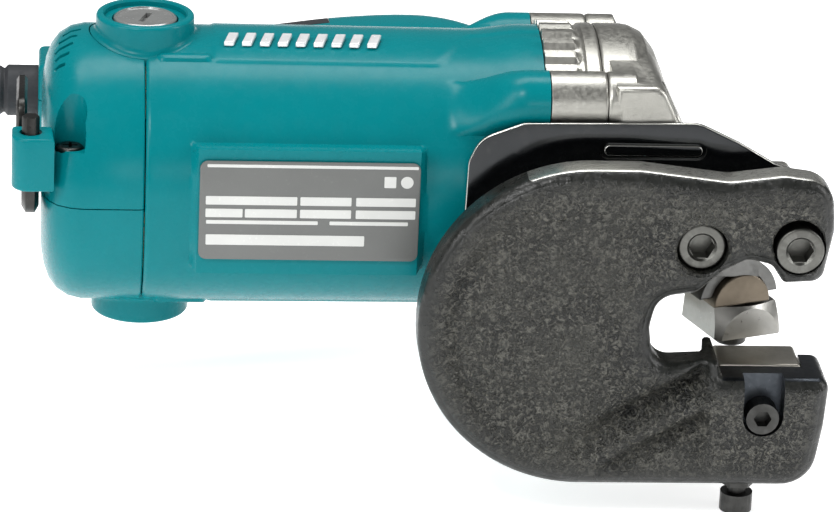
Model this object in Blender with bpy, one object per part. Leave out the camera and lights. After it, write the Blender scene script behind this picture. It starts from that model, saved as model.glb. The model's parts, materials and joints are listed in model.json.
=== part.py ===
"""Corded straight metal shear: barrel motor, gear head, closed handle and a C-shaped yoke.

Dimensions below are millimetres in the tool's own frame: X runs along the motor axis towards the
cut, Y from the yoke to the handle, Z along the stroke. The motor axis is y = 0, z = 0, and x = 0 is
the joint between the motor housing and the handle. build_piece() turns them into metres, and the
empty tool_frame moves the whole tool so that the world origin is the top of the fixed blade.
"""
import math

import bmesh
import bpy
from mathutils import Matrix, Vector

# ---- driving dimensions (mm) -------------------------------------------------------------
METRES = 0.001
MERGE = 0.000002              # metres: points closer than this become one after a Boolean
CASE = 48                     # facets of the flanged housings
LARGE = 36                    # facets of barrel-sized rounds
MEDIUM = 20                   # facets of bearings, bosses and gears' bores
SMALL = 12                    # facets of shafts and screws
GAP = 0.3                     # clearance between pieces that touch
WALL = 2.8                    # plastic shell thickness

BARREL_R = 36.0
BARREL_FRONT_R = 35.5
COVER_BACK = -26.3            # rear end of the handle's rear cover
HOUSING_END = 102.2           # motor housing meets the gear housing
FLANGE_SPLIT = 117.0          # joint between the two gear housings
DOME_END = 135.5
NEAR_BOSS = 28.0              # y and z of the two flange bosses on the yoke's side
FAR_BOSS = 25.6               # and of the two on the handle's side
FLANGE_BOSSES = [
    (-NEAR_BOSS, -NEAR_BOSS), (-NEAR_BOSS, NEAR_BOSS),
    (FAR_BOSS, -FAR_BOSS), (FAR_BOSS, FAR_BOSS),
]
FLANGE_BOSS_R = 8.0
GEAR_CASE_R = 38.0
GEAR_CASE_INNER_R = 34.0

BRUSH_BOSS_R = 12.7
BRUSH_BOSS_TOP = 40.8
BRUSH_X = 0.0
CAP_X = 0.0

YOKE_FRONT = -56.5
YOKE_BEND = (112.0, -23.4)    # centre of the closed end of the C, half a circle
YOKE_BEND_R = 42.7
YOKE_WEB_BACK = -47.3         # back of the thin web between the head and the jaw
YOKE_BACK = -38.1
PLATE_FRONT = -37.8
PLATE_BACK = -36.3
CASE_SIDE = -36.0             # flat side of the gear head that carries the yoke

BLADE_LEFT = 147.7            # fixed blade, an insert 21.6 square and 13 thick
BLADE_SIDE = 21.6
BLADE_TOP = -36.4
BLADE_NEAR = -46.0
CUT_PLANE = -33.0             # far face of the fixed blade
CLAMP_AT = (158.7, -47.4)     # x and z of the clamp bolt

INSERT_CORNER = (149.0, -32.7, -35.8)   # lowest front corner of the moving blade
INSERT_SIDE = 19.0
INSERT_TURN = math.radians(21.0)
INSERT_TWIST = math.radians(-13.0)
INSERT_HEIGHT = 9.0
SHANK_R = 8.1
SHANK_OFFSET = -2.2            # from the insert's centre line to the shank's axis
SADDLE_R = 11.5

MOTOR_TEETH = 7
WHEEL_TEETH = 36
FIRST_MODULE = 0.8
SECOND_PINION_TEETH = 11
CRANK_TEETH = 25
SECOND_MODULE = 1.0
WHEEL_AXIS = (-4.22, -16.67)  # y and z of the intermediate shaft
CRANK_AXIS = (-20.0, -8.0)    # y and z of the crankshaft
CRANK_THROW = 1.4
ECCENTRIC_R = 4.2
RAM_CLEARANCE = 0.6           # between the eccentric's sweep and the sides of the ram's slot
PRESSURE = math.radians(20.0)

GUARD_Y = 54.0                # cord guard axis
TRIGGER_PIVOT = (63.0, 62.5)  # x and y of the trigger's pivot
LOCK_AT = (71.0, 73.5)        # x and y of the lock button

ORIGIN = (BLADE_LEFT + BLADE_SIDE / 2, (BLADE_NEAR + CUT_PLANE) / 2, BLADE_TOP)

PLANES = {"X": (1, 2, 0), "Y": (0, 2, 1), "Z": (0, 1, 2)}


# ---- scene -------------------------------------------------------------------------------
def clear_scene():
    for obj in list(bpy.data.objects):
        bpy.data.objects.remove(obj, do_unlink=True)


def make_material(name, colour, roughness, metallic):
    material = bpy.data.materials.new(name)
    material.use_nodes = True
    shader = material.node_tree.nodes["Principled BSDF"]
    shader.inputs["Base Color"].default_value = (*colour, 1.0)
    shader.inputs["Roughness"].default_value = roughness
    shader.inputs["Metallic"].default_value = metallic
    material.diffuse_color = (*colour, 1.0)
    return material


# ---- mesh helpers, all in millimetres ----------------------------------------------------
def spread(axis, u, v, along):
    """The point with in-plane coordinates u, v and the given coordinate along the axis."""
    point = [0.0, 0.0, 0.0]
    first, second, third = PLANES[axis]
    point[first] = u
    point[second] = v
    point[third] = along
    return Vector(point)


def build_piece(name, mesh):
    """Turns a bmesh in millimetres into a mesh object in metres."""
    bmesh.ops.remove_doubles(mesh, verts=mesh.verts, dist=0.001)
    bmesh.ops.recalc_face_normals(mesh, faces=mesh.faces)
    mesh.transform(Matrix.Scale(METRES, 4))
    data = bpy.data.meshes.new(name)
    mesh.to_mesh(data)
    mesh.free()
    obj = bpy.data.objects.new(name, data)
    bpy.context.scene.collection.objects.link(obj)
    return obj


def loft(rings, closed=False, caps=True):
    """A skin over rings with equally many points. A closed loft joins the last ring to the first."""
    mesh = bmesh.new()
    rows = [[mesh.verts.new(point) for point in ring] for ring in rings]
    pairs = list(zip(rows, rows[1:]))
    if closed:
        pairs.append((rows[-1], rows[0]))
    for low, high in pairs:
        for i in range(len(low)):
            j = (i + 1) % len(low)
            mesh.faces.new((low[i], low[j], high[j], high[i]))
    if caps and not closed:
        mesh.faces.new(rows[0])
        mesh.faces.new(rows[-1])
    return build_piece("loft", mesh)


def prism(outline, axis, low, high):
    """A 2-D outline extruded along an axis."""
    rings = [[spread(axis, u, v, along) for u, v in outline] for along in (low, high)]
    return loft(rings)


def circle(radius, centre=(0.0, 0.0), segments=MEDIUM, turn=0.0):
    steps = [turn + math.tau * i / segments for i in range(segments)]
    return [(centre[0] + radius * math.cos(a), centre[1] + radius * math.sin(a)) for a in steps]


def rod(radius, axis, low, high, centre=(0.0, 0.0), segments=MEDIUM):
    return prism(circle(radius, centre, segments), axis, low, high)


def hexagon(across_flats, centre=(0.0, 0.0), turn=0.0):
    return circle(across_flats / math.sqrt(3), centre, 6, turn)


def block(low, high):
    outline = [(low[0], low[1]), (high[0], low[1]), (high[0], high[1]), (low[0], high[1])]
    return prism(outline, "Z", low[2], high[2])


def turned(profile, axis="X", centre=(0.0, 0.0), segments=MEDIUM):
    """A closed profile of (along, radius) points turned about an axis."""
    mesh = bmesh.new()
    rows = []
    for along, radius in profile:
        if radius < 1e-6:
            rows.append([mesh.verts.new(spread(axis, centre[0], centre[1], along))])
        else:
            ring = circle(radius, centre, segments)
            rows.append([mesh.verts.new(spread(axis, u, v, along)) for u, v in ring])
    for low, high in zip(rows, rows[1:] + rows[:1]):
        if len(low) == 1 and len(high) == 1:
            continue
        for i in range(segments):
            j = (i + 1) % segments
            corners = [low[i % len(low)], low[j % len(low)], high[j % len(high)], high[i % len(high)]]
            unique = list(dict.fromkeys(corners))
            mesh.faces.new(unique)
    return build_piece("turned", mesh)


def ring(outer, inner, low, high, axis="X", centre=(0.0, 0.0), segments=MEDIUM, chamfer=0.0):
    profile = [(low, inner), (low, outer - chamfer), (low + chamfer, outer)]
    profile += [(high - chamfer, outer), (high, outer - chamfer), (high, inner)]
    if chamfer == 0.0:
        profile = [(low, inner), (low, outer), (high, outer), (high, inner)]
    return turned(profile, axis, centre, segments)


def fillet(points, radii, steps=5):
    """The outline with each corner rounded by its radius, one radius or one for each corner."""
    if not isinstance(radii, (list, tuple)):
        radii = [radii] * len(points)
    result = []
    for i, (corner, radius) in enumerate(zip(points, radii)):
        here = Vector(corner)
        before = Vector(points[i - 1]) - here
        after = Vector(points[(i + 1) % len(points)]) - here
        opening = before.angle(after)
        if radius <= 0 or opening > math.radians(178):
            result.append(tuple(here))
            continue
        reach = radius / math.tan(opening / 2)
        reach = min(reach, before.length * 0.49, after.length * 0.49)
        bend = reach * math.tan(opening / 2)
        inward = (before.normalized() + after.normalized()).normalized()
        centre = here + inward * (bend / math.sin(opening / 2))
        first = direction(centre, here + before.normalized() * reach)
        last = direction(centre, here + after.normalized() * reach)
        sweep = (last - first + math.pi) % math.tau - math.pi
        result += arc(centre, bend, first, first + sweep, steps)
    return result


def direction(start, end):
    return math.atan2(end[1] - start[1], end[0] - start[0])


def arc(centre, radius, first, last, steps):
    angles = [first + (last - first) * k / steps for k in range(steps + 1)]
    return [(centre[0] + radius * math.cos(a), centre[1] + radius * math.sin(a)) for a in angles]


def combine(target, tool, operation):
    """Applies one exact Boolean and removes the tool."""
    modifier = target.modifiers.new(operation, "BOOLEAN")
    modifier.operation = operation
    modifier.solver = "EXACT"
    modifier.object = tool
    bpy.context.view_layer.update()
    graph = bpy.context.evaluated_depsgraph_get()
    result = bpy.data.meshes.new_from_object(target.evaluated_get(graph))
    target.modifiers.remove(modifier)
    mesh = bmesh.new()
    mesh.from_mesh(result)
    bmesh.ops.remove_doubles(mesh, verts=mesh.verts, dist=MERGE)
    bmesh.ops.dissolve_degenerate(mesh, dist=MERGE, edges=mesh.edges)
    mesh.to_mesh(result)
    mesh.free()
    target.data = result
    bpy.data.objects.remove(tool, do_unlink=True)
    return target


def cut(target, *tools):
    for tool in tools:
        combine(target, tool, "DIFFERENCE")
    return target


def join(target, *tools):
    for tool in tools:
        combine(target, tool, "UNION")
    return target


def keep(target, tool):
    return combine(target, tool, "INTERSECT")


def copy_of(obj):
    twin = bpy.data.objects.new(obj.name, obj.data.copy())
    bpy.context.scene.collection.objects.link(twin)
    return twin


def turn_about(obj, angle, axis, pivot):
    """Turns the mesh about an axis through a point given in millimetres."""
    move = Matrix.Translation(Vector(pivot) * METRES)
    obj.data.transform(move @ Matrix.Rotation(angle, 4, axis) @ move.inverted())
    return obj


def finish(obj, name, material, frame, origin=(0.0, 0.0, 0.0), sharp=32.0):
    """Names the piece, puts its origin on its axis, shades it and hangs it in the tool's frame."""
    obj.name = name
    obj.data.name = name
    shift = Vector(origin) * METRES
    obj.data.transform(Matrix.Translation(-shift))
    obj.location = shift
    obj.parent = frame
    obj.data.materials.clear()
    obj.data.materials.append(material)
    obj.data.shade_smooth()
    obj.data.set_sharp_from_angle(angle=math.radians(sharp))
    return obj


# ---- handle path -------------------------------------------------------------------------
# Each station: x and y of the centre line, half height in the loop's plane, half width along Z.
HANDLE_STATIONS = [
    (-13.2, 24.0, 12.4, 19.0),
    (-13.2, 36.0, 12.6, 18.5),
    (-12.0, 48.0, 13.2, 17.0),
    (-2.0, 56.5, 13.0, 15.5),
    (16.0, 59.0, 12.0, 14.5),
    (36.0, 65.0, 11.8, 14.5),
    (58.0, 71.5, 13.0, 15.0),
    (78.0, 74.0, 12.5, 15.0),
    (90.0, 68.0, 10.5, 14.0),
    (94.5, 56.0, 8.4, 13.5),
    (94.0, 44.0, 7.8, 14.5),
    (93.5, 32.0, 8.4, 15.0),
]
SECTION_POINTS = 12
SPLINE_STEPS = 2


def catmull(a, b, c, d, t):
    square = t * t
    cube = square * t
    return 0.5 * (2 * b + (c - a) * t + (2 * a - 5 * b + 4 * c - d) * square + (3 * b - a - 3 * c + d) * cube)


def handle_stations():
    """The stations refined along a smooth spline."""
    rows = [Vector(row) for row in HANDLE_STATIONS]
    fine = []
    for i in range(len(rows) - 1):
        before = rows[max(i - 1, 0)]
        after = rows[min(i + 2, len(rows) - 1)]
        for k in range(SPLINE_STEPS):
            fine.append(catmull(before, rows[i], rows[i + 1], after, k / SPLINE_STEPS))
    fine.append(rows[-1])
    return fine


def handle_solid(offset, squareness=0.62):
    """The handle swept along its path, grown or shrunk by an offset."""
    stations = handle_stations()
    rings = []
    for i, row in enumerate(stations):
        ahead = stations[min(i + 1, len(stations) - 1)]
        behind = stations[max(i - 1, 0)]
        along = Vector((ahead[0] - behind[0], ahead[1] - behind[1], 0.0)).normalized()
        across = Vector((-along.y, along.x, 0.0))
        centre = Vector((row[0], row[1], 0.0))
        ring_points = []
        for k in range(SECTION_POINTS):
            angle = math.tau * (k + 0.5) / SECTION_POINTS
            c, s = math.cos(angle), math.sin(angle)
            u = math.copysign(abs(c) ** squareness, c) * (row[2] + offset)
            w = math.copysign(abs(s) ** squareness, s) * (row[3] + offset)
            ring_points.append(centre + across * u + Vector((0.0, 0.0, w)))
        rings.append(ring_points)
    return loft(rings)


# ---- housings ----------------------------------------------------------------------------
def case_section(x, radius, boss, segments=CASE):
    """Barrel section with four corner bosses: boss runs from 0 (round) to 1 (full flange)."""
    points = []
    for i in range(segments):
        angle = math.tau * i / segments
        reach = radius
        for y, z in FLANGE_BOSSES:
            corner = math.atan2(z, y)
            distance = math.hypot(y, z)
            swing = math.atan2(math.sin(angle - corner), math.cos(angle - corner))
            side = distance * math.sin(swing)
            if abs(side) < FLANGE_BOSS_R and abs(swing) < 1.0:
                far = distance * math.cos(swing) + math.sqrt(FLANGE_BOSS_R ** 2 - side ** 2)
                reach = max(reach, radius + (far - radius) * boss)
        points.append(Vector((x, reach * math.cos(angle), reach * math.sin(angle))))
    return points


def smooth_step(t):
    t = min(max(t, 0.0), 1.0)
    return t * t * (3 - 2 * t)


def radial_block(side, rear, front, near, far):
    """A bar 8 thick that runs outward from the motor axis on one side, along Y."""
    low, high = sorted((side * near, side * far))
    return block((rear, low, -4.0), (front, high, 4.0))


def flatten_cheek(body, rear, front):
    """Takes the rounding off the side that the polished plate lies on."""
    return cut(body, block((rear, -60.0, -60.0), (front, CASE_SIDE, 60.0)))


def motor_housing():
    flare_start = 76.0
    outer = []
    for x in (GAP / 2, 76.0, 82.0, 87.0, 92.0, 98.0, HOUSING_END):
        radius = BARREL_R + (BARREL_FRONT_R - BARREL_R) * x / HOUSING_END
        radius += 1.5 * smooth_step((x - 84.0) / 14.0)
        boss = smooth_step((x - flare_start) / (97.0 - flare_start))
        outer.append(case_section(x, radius, boss))
    inner = [case_section(x, BARREL_R - WALL, 0.0) for x in (HOUSING_END, GAP / 2)]
    body = loft(outer + inner, closed=True)
    for side in (-1, 1):
        boss = rod(BRUSH_BOSS_R, "Z", *sorted((side * 29.0, side * BRUSH_BOSS_TOP)), (CAP_X, 0.0), MEDIUM)
        join(body, boss)
    for side in (-1, 1):
        join(body, radial_block(side, -14.0, 5.0, 12.2, 32.6))
        join(body, radial_block(side, 0.6, 5.0, 30.0, 34.5))
    cup = ring(12.8, 9.8, -19.5, -11.5)
    join(body, cup)
    pad = prism(fillet([(12.4, -17.5), (70.8, -17.5), (70.8, 17.5), (12.4, 17.5)], 4.0, 4), "Y", -36.4, -32.5)
    keep_out = rod(BARREL_R - WALL, "X", 5.0, 80.0, segments=LARGE)
    cut(pad, keep_out)
    join(body, pad)
    for side in (-1, 1):
        bore = rod(8.6, "Z", *sorted((side * 25.0, side * 45.0)), (CAP_X, 0.0), MEDIUM)
        cut(body, bore)
    for at in FLANGE_BOSSES:
        cut(body, rod(2.6, "X", 86.0, 110.0, at, SMALL))
    return flatten_cheek(body, 78.0, 110.0)


def rear_cover(offset=0.0):
    back = COVER_BACK - offset
    corner = 8.0 + offset
    front = -GAP / 2 + (1.0 if offset < 0 else 0.0)
    profile = [(back, 0.0), (back, BARREL_R + offset - corner)]
    for k in range(1, 5):
        angle = math.pi / 2 * k / 4
        across = BARREL_R + offset - corner + corner * math.sin(angle)
        profile.append((back + corner - corner * math.cos(angle), across))
    profile += [(front, BARREL_R + offset), (front, 0.0)]
    return turned(profile, segments=LARGE)


def key_holder():
    outline = [(-23.0, -35.6), (-33.8, -36.2), (-33.8, -19.5), (-24.0, -19.0)]
    return prism(fillet(outline, [0.0, 4.5, 3.0, 0.0], 4), "Z", 4.3, 18.5)


def handle_body():
    """The whole hollow handle with its rear cover, before it is split into two halves."""
    body = join(rear_cover(), handle_solid(0.0))
    outline = [(COVER_BACK - 1.0, GUARD_Y - 9.0), (-12.0, GUARD_Y - 9.0), (-12.0, GUARD_Y + 9.0)]
    outline += [(COVER_BACK - 1.0, GUARD_Y + 9.0)]
    join(body, prism(fillet(outline, 2.0, 3), "Z", -10.0, 10.0))
    cavity = join(rear_cover(-WALL), handle_solid(-WALL))
    cut(body, cavity)
    for x, y in SCREW_POSTS:
        join(body, rod(4.6, "Z", -POST_HALF[(x, y)], POST_HALF[(x, y)], (x, y), SMALL))
    cut(body, rod(BARREL_R + GAP, "X", -GAP / 2, 110.0, segments=LARGE))
    cut(body, rod(BARREL_R + 1.8, "X", 84.0, 125.0, segments=CASE))
    cut(body, rod(GEAR_CASE_R + 0.6, "X", HOUSING_END - 0.6, 125.0, segments=LARGE))
    cut(body, rod(BRUSH_BOSS_R + GAP, "Z", -50.0, -20.0, (CAP_X, 0.0), MEDIUM))
    cut(body, rod(BRUSH_BOSS_R + GAP, "Z", 20.0, 50.0, (CAP_X, 0.0), MEDIUM))
    return body


# x, y of the four screws that hold the two halves together, and half the length of their posts
SCREW_POSTS = [(-19.0, -27.5), (-14.0, 41.0), (3.0, 57.0), (93.5, 52.0)]
POST_HALF = {SCREW_POSTS[0]: 21.0, SCREW_POSTS[1]: 16.5, SCREW_POSTS[2]: 13.5, SCREW_POSTS[3]: 12.6}
HEAD_DEPTH = {SCREW_POSTS[0]: 15.0, SCREW_POSTS[1]: 13.0, SCREW_POSTS[2]: 10.0, SCREW_POSTS[3]: 9.5}


def grip_zone(extra):
    """The stretch of the handle that the soft grip covers, as seen from the side."""
    outline = [(0.0 - extra, 60.5 - extra), (20.0, 61.5 - extra), (52.0 + extra, 71.5 - extra)]
    outline += [(52.0 + extra, 95.0), (-24.0 - extra, 95.0), (-24.0 - extra, 66.0 - extra)]
    outline += [(-10.0 - extra, 66.0 - extra)]
    return prism(outline, "Z", -30.0, 30.0)


def grip_skin(grow, depth, extra):
    skin = handle_solid(grow)
    cut(skin, handle_solid(-depth))
    return keep(skin, grip_zone(extra))


def half_space(side):
    low, high = (GAP / 2, 60.0) if side > 0 else (-60.0, -GAP / 2)
    return block((-60.0, -60.0, low), (140.0, 110.0, high))


def handle_halves():
    body = handle_body()
    cut(body, grip_skin(2.0, 1.7, GAP))
    cut(body, rod(7.3, "X", -40.0, -13.0, (GUARD_Y, 0.0), SMALL))
    slot = block((26.0, 40.0, -5.2), (67.0, 67.0, 5.2))
    cut(body, slot)
    cut(body, rod(1.8, "Z", -12.2, 12.2, TRIGGER_PIVOT, SMALL))
    cut(body, rod(4.4, "Z", -30.0, -5.0, LOCK_AT, SMALL))
    upper = keep(copy_of(body), half_space(1))
    lower = keep(body, half_space(-1))
    join(upper, cut(key_holder(), rod(32.0, "X", -60.0, -10.0, segments=LARGE)))
    for x, y, across in KEYS:
        cut(upper, prism(circle(across * 0.72, (x, y), 12), "Z", -6.0, 30.0))
    for x, y in SCREW_POSTS:
        cut(upper, rod(4.2, "Z", HEAD_DEPTH[(x, y)], 50.0, (x, y), SMALL))
        cut(upper, rod(1.9, "Z", -1.0, HEAD_DEPTH[(x, y)] + 1.0, (x, y), SMALL))
        cut(lower, rod(1.9, "Z", -9.0, 1.0, (x, y), SMALL))
    return upper, lower


def grip_pads():
    skin = grip_skin(0.0, 1.4, 0.0)
    upper = keep(copy_of(skin), half_space(1))
    lower = keep(skin, half_space(-1))
    return upper, lower


# ---- hex keys, guard, controls -----------------------------------------------------------
# x, y of the two stored hex keys and their size across flats
KEYS = [(-29.0, -30.0, 4.0), (-31.4, -23.6, 2.5)]


def hex_key(x, y, across, top, bottom, reach):
    """An L key: one leg stands in the holder from top to bottom, and the other then runs along +Y."""
    bend = across * 1.3
    turn = math.copysign(bend, top - bottom)
    path = [Vector((x, y, top)), Vector((x, y, bottom + turn))]
    for k in range(1, 5):
        angle = math.pi / 2 * k / 4
        path.append(Vector((x, y + bend - bend * math.cos(angle), bottom + turn * (1 - math.sin(angle)))))
    path.append(Vector((x, y + reach, bottom)))
    rings = []
    for i, point in enumerate(path):
        along = (path[min(i + 1, len(path) - 1)] - path[max(i - 1, 0)]).normalized()
        side = Vector((1.0, 0.0, 0.0))
        other = along.cross(side)
        rings.append([point + side * u + other * v for u, v in hexagon(across)])
    return loft(rings)


def cord_guard():
    profile = [(-8.4, 3.6), (-8.4, 7.8), (-11.0, 7.8), (-11.0, 6.9)]
    x = -28.0
    radius = 6.9
    profile.append((x, radius))
    for _ in range(4):
        profile += [(x - 7.5, radius), (x - 8.4, radius - 1.0), (x - 9.4, radius - 0.3)]
        x -= 9.4
        radius -= 0.3
    profile += [(x - 4.0, radius - 0.5), (x - 5.0, radius - 1.5), (x - 5.0, 3.6)]
    return turned(profile, "X", (GUARD_Y, 0.0), SMALL)


def trigger():
    outline = [(31.0, 55.5), (27.5, 50.5), (31.0, 47.8), (45.0, 50.0), (60.0, 56.5), (65.0, 60.0)]
    outline += [(65.0, 64.8), (60.0, 65.2), (44.0, 60.0)]
    body = prism(fillet(outline, 1.8, 3), "Z", -4.8, 4.8)
    return cut(body, rod(1.8, "Z", -8.0, 8.0, TRIGGER_PIVOT, SMALL))


def trigger_pin():
    return rod(1.5, "Z", -11.9, 11.9, TRIGGER_PIVOT, SMALL)


def lock_button():
    button = rod(4.0, "Z", -17.2, -9.6, LOCK_AT, SMALL)
    return join(button, rod(5.4, "Z", -11.4, -9.6, LOCK_AT, SMALL))


def switch_body():
    body = block((33.0, 64.0, -8.2), (57.0, 73.5, 8.2))
    return turn_about(body, math.radians(15.0), "Z", (45.0, 66.0, 0.0))


# ---- motor -------------------------------------------------------------------------------
def armature_shaft():
    pinion_root = (MOTOR_TEETH / 2 - 1.15) * FIRST_MODULE
    profile = [(-19.2, 0.0), (-19.2, 2.95), (-13.0, 2.95), (-13.0, 4.95)]
    profile += [(109.8, 4.95), (109.8, pinion_root), (121.0, pinion_root), (121.0, 0.0)]
    shaft = turned(profile, segments=MEDIUM)
    teeth = prism(gear_outline(MOTOR_TEETH, FIRST_MODULE, (0.0, 0.0), MOTOR_PHASE), "X", 109.0, 120.6)
    return join(shaft, teeth)


def slotted_core(outer, inner, low, high, slots, width, depth):
    core = ring(outer, inner, low, high, segments=LARGE)
    for i in range(slots):
        angle = math.tau * (i + 0.5) / slots
        tool = block((low - 2.0, outer - depth, -width / 2), (high + 2.0, outer + 3.0, width / 2))
        cut(core, turn_about(tool, angle, "X", (0.0, 0.0, 0.0)))
    return core


def field_core():
    core = ring(31.6, 28.6, 30.0, 66.0, segments=LARGE)
    for side in (-1, 1):
        pole = block((30.0, -9.0, min(side * 17.0, side * 30.0)), (66.0, 9.0, max(side * 17.0, side * 30.0)))
        join(core, pole)
    return cut(core, rod(18.6, "X", 20.0, 76.0, segments=LARGE))


def field_coil(side):
    low, high = sorted((side * 20.2, side * 23.8))
    outer = fillet([(22.0, -14.6), (74.0, -14.6), (74.0, 14.6), (22.0, 14.6)], 6.0, 3)
    inner = fillet([(29.4, -9.4), (66.6, -9.4), (66.6, 9.4), (29.4, 9.4)], 1.0, 3)
    return cut(prism(outer, "Z", low, high), prism(inner, "Z", low - 2.0, high + 2.0))


def cooling_fan():
    fan = ring(10.0, 5.2, 78.0, 92.0, segments=MEDIUM)
    join(fan, ring(28.0, 9.0, 78.6, 80.4, segments=LARGE))
    for i in range(9):
        blade = block((79.0, 8.0, -0.8), (90.0, 27.5, 0.8))
        join(fan, turn_about(blade, math.tau * i / 9, "X", (0.0, 0.0, 0.0)))
    return fan


def baffle():
    profile = [(75.0, 22.0), (75.0, 32.8), (93.0, 32.8), (93.0, 31.0), (77.0, 31.0), (77.0, 22.0)]
    return turned(profile, segments=LARGE)


def brush_holder(side):
    low, high = sorted((side * 13.0, side * 33.0))
    tube = block((BRUSH_X - 4.6, -4.0, low), (BRUSH_X + 4.6, 4.0, high))
    low, high = sorted((side * 10.0, side * 36.0))
    hole = block((BRUSH_X - 3.5, -2.9, low), (BRUSH_X + 3.5, 2.9, high))
    return cut(tube, hole)


def carbon_brush(side):
    low, high = sorted((side * 11.9, side * 24.0))
    return block((BRUSH_X - 3.2, -2.6, low), (BRUSH_X + 3.2, 2.6, high))


def brush_cap(side):
    profile = [(side * 34.5, 0.0), (side * 34.5, 8.2), (side * 39.6, 8.2), (side * 39.6, 0.0)]
    cap = turned(profile, "Z", (CAP_X, 0.0), MEDIUM)
    low, high = sorted((side * 38.2, side * 42.0))
    return cut(cap, block((CAP_X - 6.0, -0.8, low), (CAP_X + 6.0, 0.8, high)))


# ---- gears -------------------------------------------------------------------------------
MOTOR_PHASE = 0.0


def gear_outline(teeth, module, centre, phase):
    """Straight-sided teeth with backlash: the first tooth points at the phase angle."""
    pitch = teeth * module / 2
    half_pitch_angle = math.pi / teeth / 2 * 0.86
    levels = [(-1.15, 0.0), (0.85, 0.0)]
    points = []
    for i in range(teeth):
        middle = phase + math.tau * i / teeth
        for side in (-1, 1):
            order = levels if side < 0 else levels[::-1]
            for height, _ in order:
                radius = pitch + height * module
                half = half_pitch_angle - height * module * math.tan(PRESSURE) / pitch * 0.95
                half = max(half, 0.10 * module / radius)
                angle = middle + side * half
                points.append((centre[0] + radius * math.cos(angle), centre[1] + radius * math.sin(angle)))
    return points


def bored_gear(teeth, module, centre, phase, bore, low, high):
    outline = gear_outline(teeth, module, centre, phase)
    gear = prism(outline, "X", low, high)
    return cut(gear, rod(bore, "X", low - 2.0, high + 2.0, centre, MEDIUM))


def meshed_phase(teeth, module_angle, driver_teeth, driver_phase):
    """Phase of a gear so that one of its gaps faces the driver's tooth on the centre line."""
    offset = (module_angle - driver_phase) / (math.tau / driver_teeth) % 1.0
    contact = module_angle + math.pi
    return contact + (offset + 0.5) * math.tau / teeth


def wheel_phase():
    return meshed_phase(WHEEL_TEETH, direction((0.0, 0.0), WHEEL_AXIS), MOTOR_TEETH, MOTOR_PHASE)


def intermediate_pinion():
    outline = gear_outline(SECOND_PINION_TEETH, SECOND_MODULE, WHEEL_AXIS, 0.0)
    shaft = turned([(104.5, 0.0), (104.5, 2.9), (111.2, 2.9), (111.2, 3.6), (121.0, 3.6), (121.0, 4.0),
                    (132.6, 4.0), (132.6, 2.9), (134.0, 2.9), (134.0, 0.0)], "X", WHEEL_AXIS, SMALL)
    return join(shaft, prism(outline, "X", 121.2, 132.4))


def crank_phase():
    return meshed_phase(CRANK_TEETH, direction(WHEEL_AXIS, CRANK_AXIS), SECOND_PINION_TEETH, 0.0)


def crankshaft():
    y, z = CRANK_AXIS
    shaft = turned([(122.4, 0.0), (122.4, 4.9), (132.8, 4.9), (132.8, 4.2), (147.9, 4.2), (147.9, 0.0)],
                   "X", CRANK_AXIS, SMALL)
    join(shaft, rod(ECCENTRIC_R, "X", 147.3, 158.8, (y, z + CRANK_THROW), MEDIUM))
    return join(shaft, rod(2.9, "X", 158.2, 169.0, CRANK_AXIS, SMALL))


# ---- gear head ---------------------------------------------------------------------------
def gear_housing_rear():
    low, high = HOUSING_END + GAP, FLANGE_SPLIT - GAP / 2
    body = loft([case_section(low, GEAR_CASE_R, 1.0), case_section(high, GEAR_CASE_R, 1.0)])
    cut(body, rod(GEAR_CASE_INNER_R, "X", 110.2, high + 2.0, segments=LARGE))
    cut(body, rod(13.3, "X", 99.0, 108.7, segments=MEDIUM))
    cut(body, rod(8.0, "X", 108.0, 112.0, segments=MEDIUM))
    cut(body, rod(3.2, "X", 104.0, 112.0, WHEEL_AXIS, SMALL))
    for side in (-1, 1):
        for k in range(6):
            angle = math.radians(-27.5 + 11.0 * k) + (0.0 if side > 0 else math.pi)
            tool = block((100.0, -1.7, GEAR_CASE_R - 3.2), (112.5, 1.7, GEAR_CASE_R + 5.0))
            cut(body, turn_about(tool, angle, "X", (0.0, 0.0, 0.0)))
    for at in FLANGE_BOSSES:
        cut(body, rod(2.8, "X", 100.0, 120.0, at, SMALL))
    return flatten_cheek(body, 100.0, 120.0)


def head_outline():
    """Side view of the flat cheek that carries the yoke: x and z."""
    points = [(119.0, -14.0), (143.0, -14.0), (145.0, -10.4), (168.6, -10.4), (172.0, -6.0), (172.0, 0.0)]
    points += [(168.0, 5.2), (152.0, 5.2), (141.0, 14.0), (136.6, 23.0), (131.0, 34.8), (119.0, 34.8)]
    return fillet(points, [0, 1.5, 1.5, 2.5, 2, 2, 2, 3, 3, 2, 4, 0], 3)


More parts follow.
